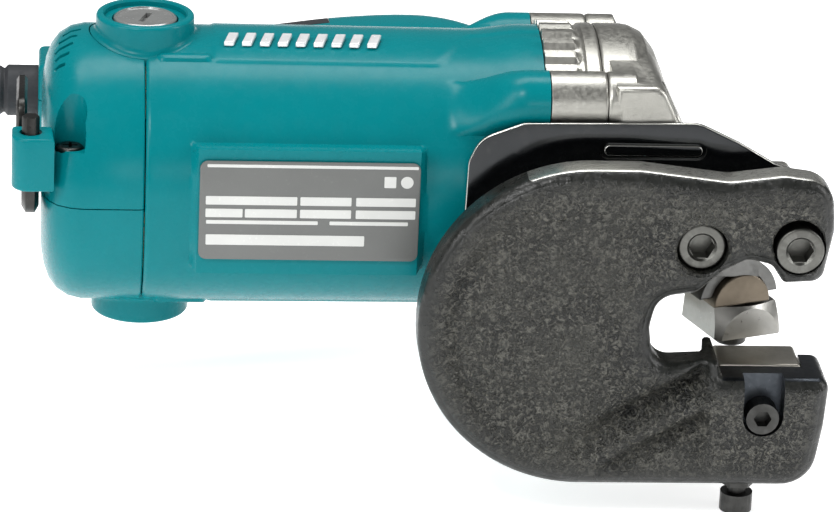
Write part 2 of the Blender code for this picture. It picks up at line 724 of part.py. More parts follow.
def gear_housing_front():
    low = FLANGE_SPLIT + GAP / 2
    sections = [(low, GEAR_CASE_R, 1.0), (126.0, GEAR_CASE_R, 1.0), (126.3, GEAR_CASE_R - 0.2, 0.0)]
    sections += [(129.5, GEAR_CASE_R - 1.8, 0.0), (132.5, GEAR_CASE_R - 5.6, 0.0)]
    sections += [(134.6, GEAR_CASE_R - 10.5, 0.0)]
    sections += [(DOME_END, GEAR_CASE_R - 15.5, 0.0)]
    body = loft([case_section(*section) for section in sections])
    join(body, prism(head_outline(), "Y", CASE_SIDE, -6.0))
    cavity = turned([(low - 2.0, 0.0), (low - 2.0, GEAR_CASE_INNER_R), (125.6, GEAR_CASE_INNER_R),
                     (130.0, 30.0), (132.8, 24.0), (132.8, 0.0)], segments=LARGE)
    cut(body, cavity)
    cut(body, rod(14.2, "X", 116.0, 133.0, CRANK_AXIS, MEDIUM))
    cut(body, rod(7.2, "X", 131.0, 143.0, CRANK_AXIS, MEDIUM))
    cut(body, rod(6.0, "X", 142.0, 147.5, CRANK_AXIS, MEDIUM))
    cut(body, block((RAM_LOW[0] - 0.4, RAM_LOW[1] - 0.4, -20.0), (RAM_HIGH[0] + 0.4, RAM_HIGH[1] + 0.4, 3.6)))
    cut(body, rod(3.2, "X", 158.0, 170.4, CRANK_AXIS, SMALL))
    cut(body, rod(3.2, "X", 132.0, 134.4, WHEEL_AXIS, SMALL))
    for x, z in YOKE_BOLTS:
        cut(body, rod(4.15, "Y", -40.0, -31.4, (x, z), SMALL))
    for at in FLANGE_BOSSES:
        cut(body, rod(2.8, "X", 115.0, 130.0, at, SMALL))
        cut(body, rod(5.6, "X", 126.0, 140.0, at, SMALL))
    return flatten_cheek(body, 110.0, 140.0)


# ---- yoke and blades ---------------------------------------------------------------------
YOKE_BOLTS = [(140.4, -1.3), (165.2, -1.1)]
YOKE_BOLT_SEATS = [-45.5, -48.1]
COUNTERBORES = [(140.4, -1.3), (164.7, 0.5)]   # the second is widened away from its bolt's axis
COUNTERBORE_R = 6.5
YOKE_BOLT_END = -32.6          # y of the inner ends of both bolts
# x, z and corner radius, clockwise from one end of the half circle to the other
YOKE_OUTLINE = [
    (112.0, 19.3, 0.0), (124.0, 19.3, 12.0), (146.5, 16.4, 12.0), (160.0, 18.3, 8.0),
    (172.8, 16.6, 8.0), (173.6, 4.0, 8.0), (171.2, -9.2, 3.5), (161.8, -9.8, 1.5), (158.6, -5.2, 3.0),
    (152.4, -3.6, 4.0), (146.4, -6.8, 4.0), (139.8, -12.8, 5.0), (129.9, -14.6, 7.0), (128.0, -23.0, 7.0),
    (129.6, -33.2, 7.0), (146.6, -32.3, 1.0), (147.3, -37.0, 1.2), (175.2, -37.0, 2.5), (174.6, -50.0, 8.0),
    (172.0, -65.6, 9.0), (112.0, -66.1, 0.0),
]


# x and z of the region whose back is cut away, clockwise from above the closed end
WEB_RELIEF = [
    (60.0, 25.0), (180.0, 25.0), (180.0, 9.5), (129.0, 9.5), (125.0, 5.0), (125.0, -14.0), (130.0, -20.0),
    (144.5, -26.0), (144.5, -70.0), (60.0, -70.0),
]


def yoke():
    outline = fillet([row[:2] for row in YOKE_OUTLINE], [row[2] for row in YOKE_OUTLINE], 4)
    outline += arc(YOKE_BEND, YOKE_BEND_R, math.radians(-90), math.radians(-270), 20)[1:-1]
    body = prism(outline, "Y", YOKE_FRONT, YOKE_BACK)
    cut(body, prism(WEB_RELIEF, "Y", YOKE_WEB_BACK, YOKE_BACK + 5.0))
    recess = (BLADE_LEFT - GAP, BLADE_NEAR - GAP, BLADE_TOP - BLADE_SIDE - GAP)
    cut(body, block(recess, (BLADE_LEFT + BLADE_SIDE + GAP, -30.0, -36.0)))
    for bolt, counterbore, seat in zip(YOKE_BOLTS, COUNTERBORES, YOKE_BOLT_SEATS):
        cut(body, rod(4.5, "Y", -60.0, -30.0, bolt, SMALL))
        cut(body, rod(COUNTERBORE_R, "Y", -60.0, seat, bolt, MEDIUM))
        if counterbore != bolt:
            cut(body, rod(COUNTERBORE_R, "Y", -60.0, seat, counterbore, MEDIUM))
    x, z = CLAMP_AT
    slot = [(x - 5.2, z - 4.6), (x + 5.2, z - 4.6), (x + 5.2, -30.0), (x - 5.2, -30.0)]
    cut(body, prism(fillet(slot, [3.0, 3.0, 0.0, 0.0], 4), "Y", -60.0, -50.8))
    cut(body, rod(2.8, "Y", -52.0, -44.0, (x, z), SMALL))
    cut(body, rod(2.7, "Z", -70.0, -54.0, ADJUSTER_AT, SMALL))
    return body


ADJUSTER_AT = (154.6, -47.6)


def cap_screw(head_r, head_height, socket, shank_r, length, axis, at, base, sign=1):
    """A hex-socket screw: base is the underside of the head, the shank runs along sign * axis."""
    head = rod(head_r, axis, *sorted((base, base - sign * head_height)), at, MEDIUM)
    outer = base - sign * head_height
    socket_ends = sorted((outer - sign * 2.0, outer + sign * head_height * 0.6))
    cut(head, prism(hexagon(socket, at), axis, *socket_ends))
    shank = rod(shank_r, axis, *sorted((base - sign * 1.0, base + sign * length)), at, SMALL)
    return join(head, shank)


def polished_plate():
    outline = [
        (81.0, -12.0), (81.6, 25.6), (140.6, 26.2), (158.6, 15.6),
        (171.5, 12.0), (171.5, -9.9), (143.0, -9.9), (139.0, -13.0),
    ]
    body = prism(fillet(outline, [3, 13, 2, 3, 3, 3, 2, 3], 5), "Y", PLATE_FRONT, PLATE_BACK)
    for x, z in YOKE_BOLTS:
        cut(body, rod(4.5, "Y", -50.0, -30.0, (x, z), SMALL))
    return body


def fixed_blade():
    outline = [(BLADE_LEFT, BLADE_TOP), (BLADE_LEFT + BLADE_SIDE, BLADE_TOP),
               (BLADE_LEFT + BLADE_SIDE, BLADE_TOP - BLADE_SIDE), (BLADE_LEFT, BLADE_TOP - BLADE_SIDE)]
    body = prism(outline, "Y", BLADE_NEAR, CUT_PLANE)
    return cut(body, rod(2.8, "Y", -50.0, -30.0, CLAMP_AT, SMALL))


RAM_LOW = (147.0, -30.6, -18.6)
RAM_HIGH = (159.2, -9.4, 0.9)


def shank_axis():
    """Centre of the moving blade and the directions across and along its shank."""
    across = Vector((math.cos(INSERT_TURN), math.sin(INSERT_TURN), 0.0))
    along = Vector((-math.sin(INSERT_TURN), math.cos(INSERT_TURN), 0.0))
    centre = Vector(INSERT_CORNER) + (across + along) * INSERT_SIDE / 2
    return centre, across, along


def along_shank(radius, start, end, height, segments=MEDIUM, lowest=None):
    """A round bar along the shank's axis, cut flat at its lowest level if one is given."""
    centre, across, along = shank_axis()
    points = circle(radius, (0.0, 0.0), segments)
    if lowest is not None:
        start_angle = math.asin(lowest / radius)
        sweep = math.pi - 2 * start_angle
        angles = [start_angle + sweep * i / segments for i in range(segments + 1)]
        points = [(radius * math.cos(a), radius * math.sin(a)) for a in angles]
    rings = []
    for t in (start, end):
        base = centre + along * t + across * SHANK_OFFSET
        rings.append([base + across * u + Vector((0.0, 0.0, height - centre.z + v)) for u, v in points])
    return loft(rings)


SHANK_HEIGHT = -26.2
SLOT_LOW = -7.9                # ends of the ram's slot, from the crank's axis
SLOT_HIGH = 6.7


def ram():
    """The reciprocating block: a slot for the crank's eccentric and a saddle for the blade shank."""
    body = block(RAM_LOW, RAM_HIGH)
    saddle = along_shank(SADDLE_R, -7.0, 9.5, SHANK_HEIGHT, lowest=1.6)
    join(body, saddle)
    y, z = CRANK_AXIS
    half = CRANK_THROW + ECCENTRIC_R + RAM_CLEARANCE
    cut(body, block((140.0, y - half, z + SLOT_LOW), (170.0, y + half, z + SLOT_HIGH)))
    cut(body, along_shank(SHANK_R + GAP, -20.0, 20.0, SHANK_HEIGHT))
    return body


def blade_shank():
    body = along_shank(SHANK_R, -9.0, 7.0, SHANK_HEIGHT, lowest=-0.3)
    centre, _, _ = shank_axis()
    return cut(body, rod(2.2, "Z", -30.0, -21.5, (centre.x, centre.y), SMALL))


def moving_blade():
    """A square insert, twisted between its lower cutting edges and its upper face."""
    centre, across, along = shank_axis()
    rings = []
    levels = ((0.0, 1.0), (0.25, 0.965), (0.5, 0.93), (0.75, 0.945), (1.0, 0.98))
    for t, size in levels:
        twist = INSERT_TWIST * t
        half = INSERT_SIDE / 2 * size
        corners = []
        for u, v in ((-half, -half), (half, -half), (half, half), (-half, half)):
            spun_u = u * math.cos(twist) - v * math.sin(twist)
            spun_v = u * math.sin(twist) + v * math.cos(twist)
            corners.append(centre + across * spun_u + along * spun_v + Vector((0.0, 0.0, INSERT_HEIGHT * t)))
        rings.append(corners)
    body = loft(rings)
    return cut(body, rod(2.6, "Z", -40.0, -20.0, (centre.x, centre.y), SMALL))


def main():
    clear_scene()
    frame = bpy.data.objects.new("tool_frame", None)
    frame.location = -Vector(ORIGIN) * METRES
    bpy.context.scene.collection.objects.link(frame)

    teal = make_material("teal_plastic", (0.0, 0.25, 0.28), 0.3, 0.0)
    dark_rubber = make_material("dark_elastomer", (0.05, 0.05, 0.055), 0.75, 0.0)
    black_plastic = make_material("black_plastic", (0.02, 0.02, 0.022), 0.45, 0.0)
    grey_label = make_material("grey_label", (0.28, 0.30, 0.30), 0.4, 0.0)
    chrome = make_material("chrome", (0.8, 0.8, 0.8), 0.12, 1.0)
    aluminium = make_material("cast_aluminium", (0.62, 0.62, 0.58), 0.38, 1.0)
    black_iron = make_material("black_cast_iron", (0.03, 0.03, 0.033), 0.5, 0.3)
    black_chrome = make_material("black_chrome", (0.03, 0.03, 0.03), 0.12, 1.0)
    tool_steel = make_material("tool_steel", (0.55, 0.55, 0.52), 0.3, 1.0)
    dark_steel = make_material("black_oxide_steel", (0.08, 0.08, 0.08), 0.4, 0.9)
    bronze = make_material("bronze", (0.42, 0.33, 0.24), 0.35, 1.0)
    brass = make_material("brass", (0.7, 0.52, 0.22), 0.3, 1.0)
    copper = make_material("copper_wire", (0.6, 0.25, 0.12), 0.4, 1.0)
    carbon = make_material("carbon", (0.04, 0.04, 0.04), 0.7, 0.0)

    finish(motor_housing(), "motor_housing", teal, frame)
    upper, lower = handle_halves()
    finish(upper, "handle_upper_half", teal, frame)
    finish(lower, "handle_lower_half", teal, frame)
    upper, lower = grip_pads()
    finish(upper, "grip_pad_upper", dark_rubber, frame)
    finish(lower, "grip_pad_lower", dark_rubber, frame)
    finish(cord_guard(), "cord_guard", dark_rubber, frame)
    finish(trigger(), "trigger", black_plastic, frame, (*TRIGGER_PIVOT, 0.0))
    finish(trigger_pin(), "trigger_pin", tool_steel, frame)
    finish(lock_button(), "lock_button", black_plastic, frame, (*LOCK_AT, -10.0))
    finish(switch_body(), "switch_body", black_plastic, frame)
    for i, (x, y) in enumerate(SCREW_POSTS):
        base = HEAD_DEPTH[(x, y)] + GAP
        screw = rod(3.6, "Z", base, base + 2.4, (x, y), SMALL)
        join(screw, rod(1.7, "Z", -8.0, base + 1.0, (x, y), SMALL))
        finish(screw, f"handle_screw_{i + 1}", dark_steel, frame)
    x, y, across = KEYS[0]
    finish(hex_key(x, y, across, 22.9, -2.8, 62.0), "hex_key_4mm", dark_steel, frame, (x, y, 0.0))
    x, y, across = KEYS[1]
    finish(hex_key(x, y, across, 2.4, 23.4, 20.0), "hex_key_2_5mm", dark_steel, frame, (x, y, 0.0))

    finish(block((13.8, -37.3, -12.6), (69.8, -36.7, 14.0)), "rating_plate", grey_label, frame)
    badge = prism(fillet([(18.0, -3.0), (61.0, -3.0), (61.0, 3.0), (18.0, 3.0)], 2.9, 4), "Z", 36.2, 37.4)
    finish(badge, "badge", chrome, frame)

    finish(armature_shaft(), "armature_shaft", tool_steel, frame)
    core = slotted_core(17.6, 5.3, 31.0, 65.0, 12, 2.6, 5.0)
    finish(core, "armature_core", tool_steel, frame)
    for name, low, high in (("armature_winding_rear", 21.0, 30.6), ("armature_winding_front", 65.4, 74.0)):
        finish(ring(15.5, 5.3, low, high, chamfer=2.5, segments=MEDIUM), name, copper, frame)
    finish(ring(11.5, 5.3, -9.5, 9.0, segments=MEDIUM), "commutator", copper, frame)
    finish(cooling_fan(), "cooling_fan", black_plastic, frame)
    finish(ring(9.5, 3.1, -19.0, -13.4, segments=MEDIUM), "rear_bearing", tool_steel, frame)
    finish(ring(13.0, 5.1, 100.4, 108.4, segments=MEDIUM), "front_bearing", tool_steel, frame)
    finish(baffle(), "air_baffle", black_plastic, frame)
    finish(field_core(), "field_core", tool_steel, frame)
    for side, name in ((1, "upper"), (-1, "lower")):
        finish(field_coil(side), f"field_coil_{name}", copper, frame)
        finish(brush_holder(side), f"brush_holder_{name}", brass, frame)
        finish(carbon_brush(side), f"carbon_brush_{name}", carbon, frame)
        finish(brush_cap(side), f"brush_cap_{name}", black_plastic, frame)

    finish(gear_housing_rear(), "gear_housing_rear", aluminium, frame)
    finish(gear_housing_front(), "gear_housing_front", aluminium, frame)
    for i, at in enumerate(FLANGE_BOSSES):
        screw = cap_screw(4.2, 3.0, 3.0, 2.4, 34.0, "X", at, 126.2, -1)
        finish(screw, f"flange_screw_{i + 1}", dark_steel, frame)
    wheel = bored_gear(WHEEL_TEETH, FIRST_MODULE, WHEEL_AXIS, wheel_phase(), 3.8, 111.4, 120.4)
    finish(wheel, "intermediate_gear", tool_steel, frame, (0.0, *WHEEL_AXIS))
    finish(intermediate_pinion(), "intermediate_pinion", tool_steel, frame, (0.0, *WHEEL_AXIS))
    gear = bored_gear(CRANK_TEETH, SECOND_MODULE, CRANK_AXIS, crank_phase(), 5.1, 122.6, 132.2)
    finish(gear, "crank_gear", tool_steel, frame, (0.0, *CRANK_AXIS))
    finish(crankshaft(), "crankshaft", tool_steel, frame, (0.0, *CRANK_AXIS))
    finish(ring(7.0, 4.4, 133.6, 142.6, "X", CRANK_AXIS, MEDIUM), "crank_bush", bronze, frame)

    finish(ram(), "ram", tool_steel, frame)
    finish(blade_shank(), "blade_shank", bronze, frame)
    finish(moving_blade(), "moving_blade", tool_steel, frame)
    centre, _, _ = shank_axis()
    bolt = cap_screw(4.2, 2.2, 3.0, 2.0, 12.0, "Z", (centre.x, centre.y), INSERT_CORNER[2] - GAP)
    finish(bolt, "moving_blade_bolt", dark_steel, frame)

    finish(polished_plate(), "polished_plate", black_chrome, frame)
    finish(yoke(), "yoke", black_iron, frame)
    for i, (at, seat) in enumerate(zip(YOKE_BOLTS, YOKE_BOLT_SEATS)):
        bolt = cap_screw(6.15, 8.0, 6.0, 4.0, YOKE_BOLT_END - seat, "Y", at, seat - GAP)
        finish(bolt, f"yoke_bolt_{i + 1}", dark_steel, frame)
    finish(fixed_blade(), "fixed_blade", tool_steel, frame)
    clamp = cap_screw(4.25, 5.0, 4.0, 2.5, 15.0, "Y", CLAMP_AT, -51.1)
    finish(clamp, "clamp_bolt", dark_steel, frame)
    adjuster = cap_screw(4.25, 5.0, 4.0, 2.5, 12.6, "Z", ADJUSTER_AT, -71.2)
    finish(adjuster, "adjusting_screw", dark_steel, frame)
    nut = prism(hexagon(8.0, ADJUSTER_AT), "Z", -68.8, -65.8)
    finish(cut(nut, rod(2.7, "Z", -75.0, -60.0, ADJUSTER_AT, SMALL)), "lock_nut", dark_steel, frame)


main()
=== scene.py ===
"""Looks of a corded straight metal shear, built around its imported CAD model.

Lengths are millimetres in the tool's own frame until make() turns them into the row frame's metres:
X runs along the motor axis towards the cut, Y from the yoke to the handle, Z along the stroke. The
motor axis is y = 0, z = 0, and x = 0 is the joint between the motor housing and the rear cover.
"""
import json
from math import asin, atan2, copysign, cos, hypot, pi, radians, sin, sqrt, tan, tau

import bmesh
import bpy
import numpy as np
from mathutils import Matrix, Vector
from mathutils.geometry import delaunay_2d_cdt


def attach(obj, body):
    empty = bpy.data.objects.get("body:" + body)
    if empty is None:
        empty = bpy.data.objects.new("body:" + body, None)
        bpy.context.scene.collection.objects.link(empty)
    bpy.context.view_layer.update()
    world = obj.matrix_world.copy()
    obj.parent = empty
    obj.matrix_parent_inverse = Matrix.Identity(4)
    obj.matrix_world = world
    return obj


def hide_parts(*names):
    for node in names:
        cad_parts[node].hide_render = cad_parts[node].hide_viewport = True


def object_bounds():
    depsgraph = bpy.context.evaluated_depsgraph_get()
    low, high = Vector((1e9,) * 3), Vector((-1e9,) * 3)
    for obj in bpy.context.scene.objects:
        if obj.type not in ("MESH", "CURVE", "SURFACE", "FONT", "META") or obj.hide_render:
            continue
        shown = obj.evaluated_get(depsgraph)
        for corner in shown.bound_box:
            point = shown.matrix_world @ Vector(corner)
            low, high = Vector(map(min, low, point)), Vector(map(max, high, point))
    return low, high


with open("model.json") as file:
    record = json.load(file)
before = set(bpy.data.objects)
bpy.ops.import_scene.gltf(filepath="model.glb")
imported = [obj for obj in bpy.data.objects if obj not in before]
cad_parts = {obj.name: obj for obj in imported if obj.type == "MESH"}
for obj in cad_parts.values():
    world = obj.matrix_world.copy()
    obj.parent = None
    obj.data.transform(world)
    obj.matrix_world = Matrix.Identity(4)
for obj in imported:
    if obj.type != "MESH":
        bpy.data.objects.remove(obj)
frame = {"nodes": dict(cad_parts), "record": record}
cad_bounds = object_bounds()

MM = 0.001
ORIGIN = Vector((158.5, -39.5, -36.4))  # the row frame's origin, seen from the motor axis
GAP = 0.3  # clearance between neighbouring pieces
QUARTER = pi / 2

BARREL_R = 36
COVER_BACK = -26.3
HOUSING_END = 102.2
NEAR_BOSS = 28
FAR_BOSS = 25.6
FLANGE_BOSSES = [
    (-NEAR_BOSS, -NEAR_BOSS), (-NEAR_BOSS, NEAR_BOSS),
    (FAR_BOSS, -FAR_BOSS), (FAR_BOSS, FAR_BOSS),
]
FLANGE_BOSS_R = 8
GEAR_CASE_R = 38
CHEEK = -36  # flat near side of the gear case
BRUSH_BOSS_R = 12.7
BRUSH_BOSS_TOP = 40.8

YOKE_FRONT = -56.5
YOKE_BACK = -38.1
YOKE_BEND = (112.1, -23.6)
YOKE_BEND_R = 42.95
YOKE_WEB_BACK = -47.3
YOKE_RIM_R = 4.2
YOKE_BOLTS = [(140.4, -1.3), (165.2, -1.1)]
YOKE_BOLT_SEATS = [-45.5, -48.1]
YOKE_BOLT_END = -32.6
YOKE_BOLT_HOLE_R = 4.5
COUNTERBORES = [(140.4, -1.3), (164.7, 0.5)]
COUNTERBORE_R = 6.6
PLATE_FRONT = -37.8
PLATE_BACK = -36.3
BLADE_LEFT = 147.7
BLADE_SIDE = 21.6
BLADE_TOP = -36.4
BLADE_NEAR = -46
CUT_PLANE = -33
CLAMP_AT = (158.7, -47.4)
CLAMP_BORE_R = 2.8
ADJUSTER_AT = (154.6, -47.6)
INSERT_CORNER = (149, -32.7, -35.8)
INSERT_SIDE = 19
INSERT_TURN = radians(21)
SHANK_R = 8.1
SHANK_OFFSET = -2.2
SADDLE_R = 11.5
SHANK_HEIGHT = -26.2
BOLT_SEAT = -36.1  # underside of the moving blade's bolt head
LAND_R = 8.3  # the half-round land on the moving blade's front
GUARD_Y = 54


# ---- outlines ----
def direction(start, end):
    return atan2(end[1] - start[1], end[0] - start[0])


def arc(centre, radius, first, last, steps):
    angles = [first + (last - first) * k / steps for k in range(steps + 1)]
    return [(centre[0] + radius * cos(a), centre[1] + radius * sin(a)) for a in angles]


def circle(radius, centre=(0, 0), segments=96):
    return arc(centre, radius, 0, tau, segments)[:-1]


def hexagon(across, centre):
    return circle(across / sqrt(3), centre, 6)


def rectangle(low, high, radius=0):
    """The (u, v, radius) corners of an upright rectangle."""
    sides = (low[0], low[1]), (high[0], low[1]), (high[0], high[1]), (low[0], high[1])
    return [(u, v, radius) for u, v in sides]


def rounded(corners, steps=8):
    """The outline through (u, v, radius) corners, each rounded by an arc."""
    result = []
    for i, (u, v, radius) in enumerate(corners):
        here = Vector((u, v))
        before = Vector(corners[i - 1][:2]) - here
        after = Vector(corners[(i + 1) % len(corners)][:2]) - here
        opening = before.angle(after)
        if radius <= 0 or opening > radians(178):
            result.append((u, v))
            continue
        reach = min(radius / tan(opening / 2), before.length * 0.49, after.length * 0.49)
        bend = reach * tan(opening / 2)
        before.normalize()
        after.normalize()
        centre = here + (before + after).normalized() * (bend / sin(opening / 2))
        first = direction(centre, here + before * reach)
        last = direction(centre, here + after * reach)
        sweep = (last - first + pi) % tau - pi
        result += arc(centre, bend, first, first + sweep, steps)
    return result


def resample(outline, step):
    """The closed outline with points about one step apart."""
    points = np.array(outline + outline[:1], float)
    lengths = np.hypot(*(points[1:] - points[:-1]).T)
    total = np.concatenate([[0], np.cumsum(lengths)])
    count = max(8, round(total[-1] / step))
    places = np.linspace(0, total[-1], count, endpoint=False)
    return np.stack([np.interp(places, total, points[:, k]) for k in (0, 1)], 1)


def area(loop):
    x, z = np.array(loop, float).T
    return 0.5 * float(np.sum(x * np.roll(z, -1) - np.roll(x, -1) * z))


def along_path(points, path):
    """Distance to the open path and how far along it the nearest place is, from 0 to 1."""
    best = np.full(len(points), 1e9)
    share = np.zeros(len(points))
    for k, (start, end) in enumerate(zip(path, path[1:])):
        side = end - start
        t = np.clip(((points - start) @ side) / max(side @ side, 1e-12), 0, 1)
        away = points - start - t[:, None] * side
        gap = np.hypot(away[:, 0], away[:, 1])
        closer = gap < best
        best = np.where(closer, gap, best)
        share = np.where(closer, (k + t) / (len(path) - 1), share)
    return best, share


def distance_to(points, loop):
    """Distance from each point to the nearest edge of the closed loop."""
    return along_path(points, np.concatenate([loop, loop[:1]]))[0]


def inside(points, loop):
    """Whether each point is inside the closed loop."""
    found = np.zeros(len(points), bool)
    for (x1, z1), (x2, z2) in zip(loop, np.roll(loop, -1, axis=0)):
        crosses = (z1 > points[:, 1]) != (z2 > points[:, 1])
        if z1 != z2:
            at = x1 + (points[:, 1] - z1) / (z2 - z1) * (x2 - x1)
            found ^= crosses & (points[:, 0] < at)
    return found


def ease(value, low, high):
    """0 below low, 1 above high and a smooth step between them."""
    t = np.clip((value - low) / (high - low), 0, 1)
    return t * t * (3 - 2 * t)


def bell(value, centre, width):
    return np.exp(-((value - centre) / width) ** 2)


# ---- meshes ----
def to_row(points):
    return (np.asarray(points, float) - np.array(ORIGIN)) * MM


def to_tool(points):
    return np.array(points) / MM + np.array(ORIGIN)


def linked(name, data):
    obj = bpy.data.objects.new(name, data)
    bpy.context.scene.collection.objects.link(obj)
    return obj


def from_bmesh(name, mesh):
    data = bpy.data.meshes.new(name)
    mesh.to_mesh(data)
    mesh.free()
    return linked(name, data)


def shade(obj, degrees=32):
    """Smooth shading with edges sharp above an angle."""
    obj.data.shade_smooth()
    obj.data.set_sharp_from_angle(angle=radians(degrees))
    return obj


def make(name, points, faces):
    """A closed mesh object in the row frame from points in the tool frame."""
    data = bpy.data.meshes.new(name)
    data.from_pydata([tuple(p) for p in to_row(points)], [], [tuple(int(i) for i in f) for f in faces])
    mesh = bmesh.new()
    mesh.from_mesh(data)
    bmesh.ops.remove_doubles(mesh, verts=mesh.verts, dist=2e-6)
    bmesh.ops.recalc_face_normals(mesh, faces=mesh.faces)
    mesh.to_mesh(data)
    mesh.free()
    return shade(linked(name, data))


def spread(axis, u, v, along):
    """The point with in-plane coordinates u, v and the given coordinate along the axis."""
    return {"X": (along, u, v), "Y": (u, along, v), "Z": (u, v, along)}[axis]


def skin(name, rings, closed=False):
    """A skin over rings with equally many points, capped at its ends unless it closes on itself."""
    rings = [np.asarray(ring, float) for ring in rings]
    count = len(rings[0])
    faces = []
    for k in range(len(rings) if closed else len(rings) - 1):
        a, b = k * count, (k + 1) % len(rings) * count
        faces += [(a + i, a + (i + 1) % count, b + (i + 1) % count, b + i) for i in range(count)]
    if not closed:
        faces += [list(range(count)), list(range((len(rings) - 1) * count, len(rings) * count))]
    return make(name, np.concatenate(rings), faces)


def prism(name, outline, axis, low, high, edge=0):
    """The outline extruded along an axis, with its rims rounded by the edge length."""
    loop = [Vector(p) for p in outline]
    if area([tuple(p) for p in loop]) < 0:
        loop.reverse()
    levels = [(low, 0), (high, 0)]
    if edge > 0:
        bends = [(1 - cos(t), 1 - sin(t)) for t in (0, 0.52, 1.05, QUARTER)]
        levels = [(low + rise * edge, inset * edge) for rise, inset in bends]
        levels += [(high - rise * edge, inset * edge) for rise, inset in bends[::-1]]
    rings = []
    for along, inset in levels:
        ring = []
        for i, here in enumerate(loop):
            before = (here - loop[i - 1]).normalized()
            after = (loop[(i + 1) % len(loop)] - here).normalized()
            middle = before + after
            normal = Vector((-middle.y, middle.x)).normalized() if middle.length > 1e-6 else Vector((0, 0))
            reach = inset / max(0.5, normal.dot(Vector((-before.y, before.x))))
            point = here + normal * reach
            ring.append(spread(axis, point.x, point.y, along))
        rings.append(ring)
    return skin(name, rings)


def block(name, low, high, edge=0):
    return prism(name, rounded(rectangle(low, high)), "Z", low[2], high[2], edge)


def turned(name, profile, axis="X", centre=(0, 0), segments=96):
    """A closed profile of (along, radius) points turned about an axis."""
    points, rows, faces = [], [], []
    for along, radius in profile:
        start = len(points)
        if radius < 1e-6:
            points.append(spread(axis, centre[0], centre[1], along))
            rows.append([start])
        else:
            points += [spread(axis, u, v, along) for u, v in circle(radius, centre, segments)]
            rows.append(list(range(start, start + segments)))
    for low, high in zip(rows, rows[1:] + rows[:1]):
        if len(low) == 1 and len(high) == 1:
            continue
        for i in range(segments):
            j = (i + 1) % segments
            corners = [low[i % len(low)], low[j % len(low)], high[j % len(high)], high[i % len(high)]]
            faces.append(list(dict.fromkeys(corners)))
    return make(name, points, faces)


def rod(name, radius, axis, low, high, centre=(0, 0), edge=0.4, segments=96):
    low, high = sorted((low, high))
    corners = [(low, 0, 0), (low, radius, edge), (high, radius, edge), (high, 0, 0)]
    return turned(name, rounded(corners, 5), axis, centre, segments)


def combine(obj, tool, operation):
    """Applies one Boolean and removes the tool. The manifold solver helps out where the exact one
    leaves nothing."""
    modifier = obj.modifiers.new(operation, "BOOLEAN")
    modifier.operation = operation
    modifier.object = tool
    for solver in ("EXACT", "MANIFOLD"):
        modifier.solver = solver
        graph = bpy.context.evaluated_depsgraph_get()
        data = bpy.data.meshes.new_from_object(obj.evaluated_get(graph))
        if len(data.polygons):
            break
    obj.modifiers.clear()
    old = obj.data
    obj.data = data
    bpy.data.meshes.remove(old)
    bpy.data.objects.remove(tool)
    return shade(obj)


def cut(obj, tool):
    return combine(obj, tool, "DIFFERENCE")


def join(obj, tool):
    return combine(obj, tool, "UNION")


def hole(obj, radius, axis, low, high, centre=(0, 0), segments=96):
    """Cuts a round hole with sharp ends along an axis."""
    return cut(obj, rod("hole", radius, axis, low, high, centre, 0, segments))


def turn(obj, angle, axis, pivot=(0, 0, 0)):
    """Turns an object's mesh about an axis through a pivot in the tool frame."""
    centre = (Vector(pivot) - ORIGIN) * MM
    about = Matrix.Translation(centre) @ Matrix.Rotation(angle, 4, axis) @ Matrix.Translation(-centre)
    obj.data.transform(about)
    return obj


def merged(name, objects):
    """Several separate solids as one object."""
    mesh = bmesh.new()
    for obj in objects:
        mesh.from_mesh(obj.data)
        bpy.data.objects.remove(obj)
    return shade(from_bmesh(name, mesh))


def tool_points(obj):
    """The object's vertices in the tool frame."""
    points = np.empty(len(obj.data.vertices) * 3)
    obj.data.vertices.foreach_get("co", points)
    return to_tool(points.reshape(-1, 3))


materials = {}


def placed(obj, body, slot, *replaced, looks=None):
    """Gives a piece its materials, the slot's own unless looks are given, parents it to its body, and
    hides the CAD nodes it stands for.
    """
    obj.data.materials.clear()
    for name in looks or (slot,):
        obj.data.materials.append(materials[name])
    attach(obj, body)
    if replaced:
        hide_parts(*replaced)


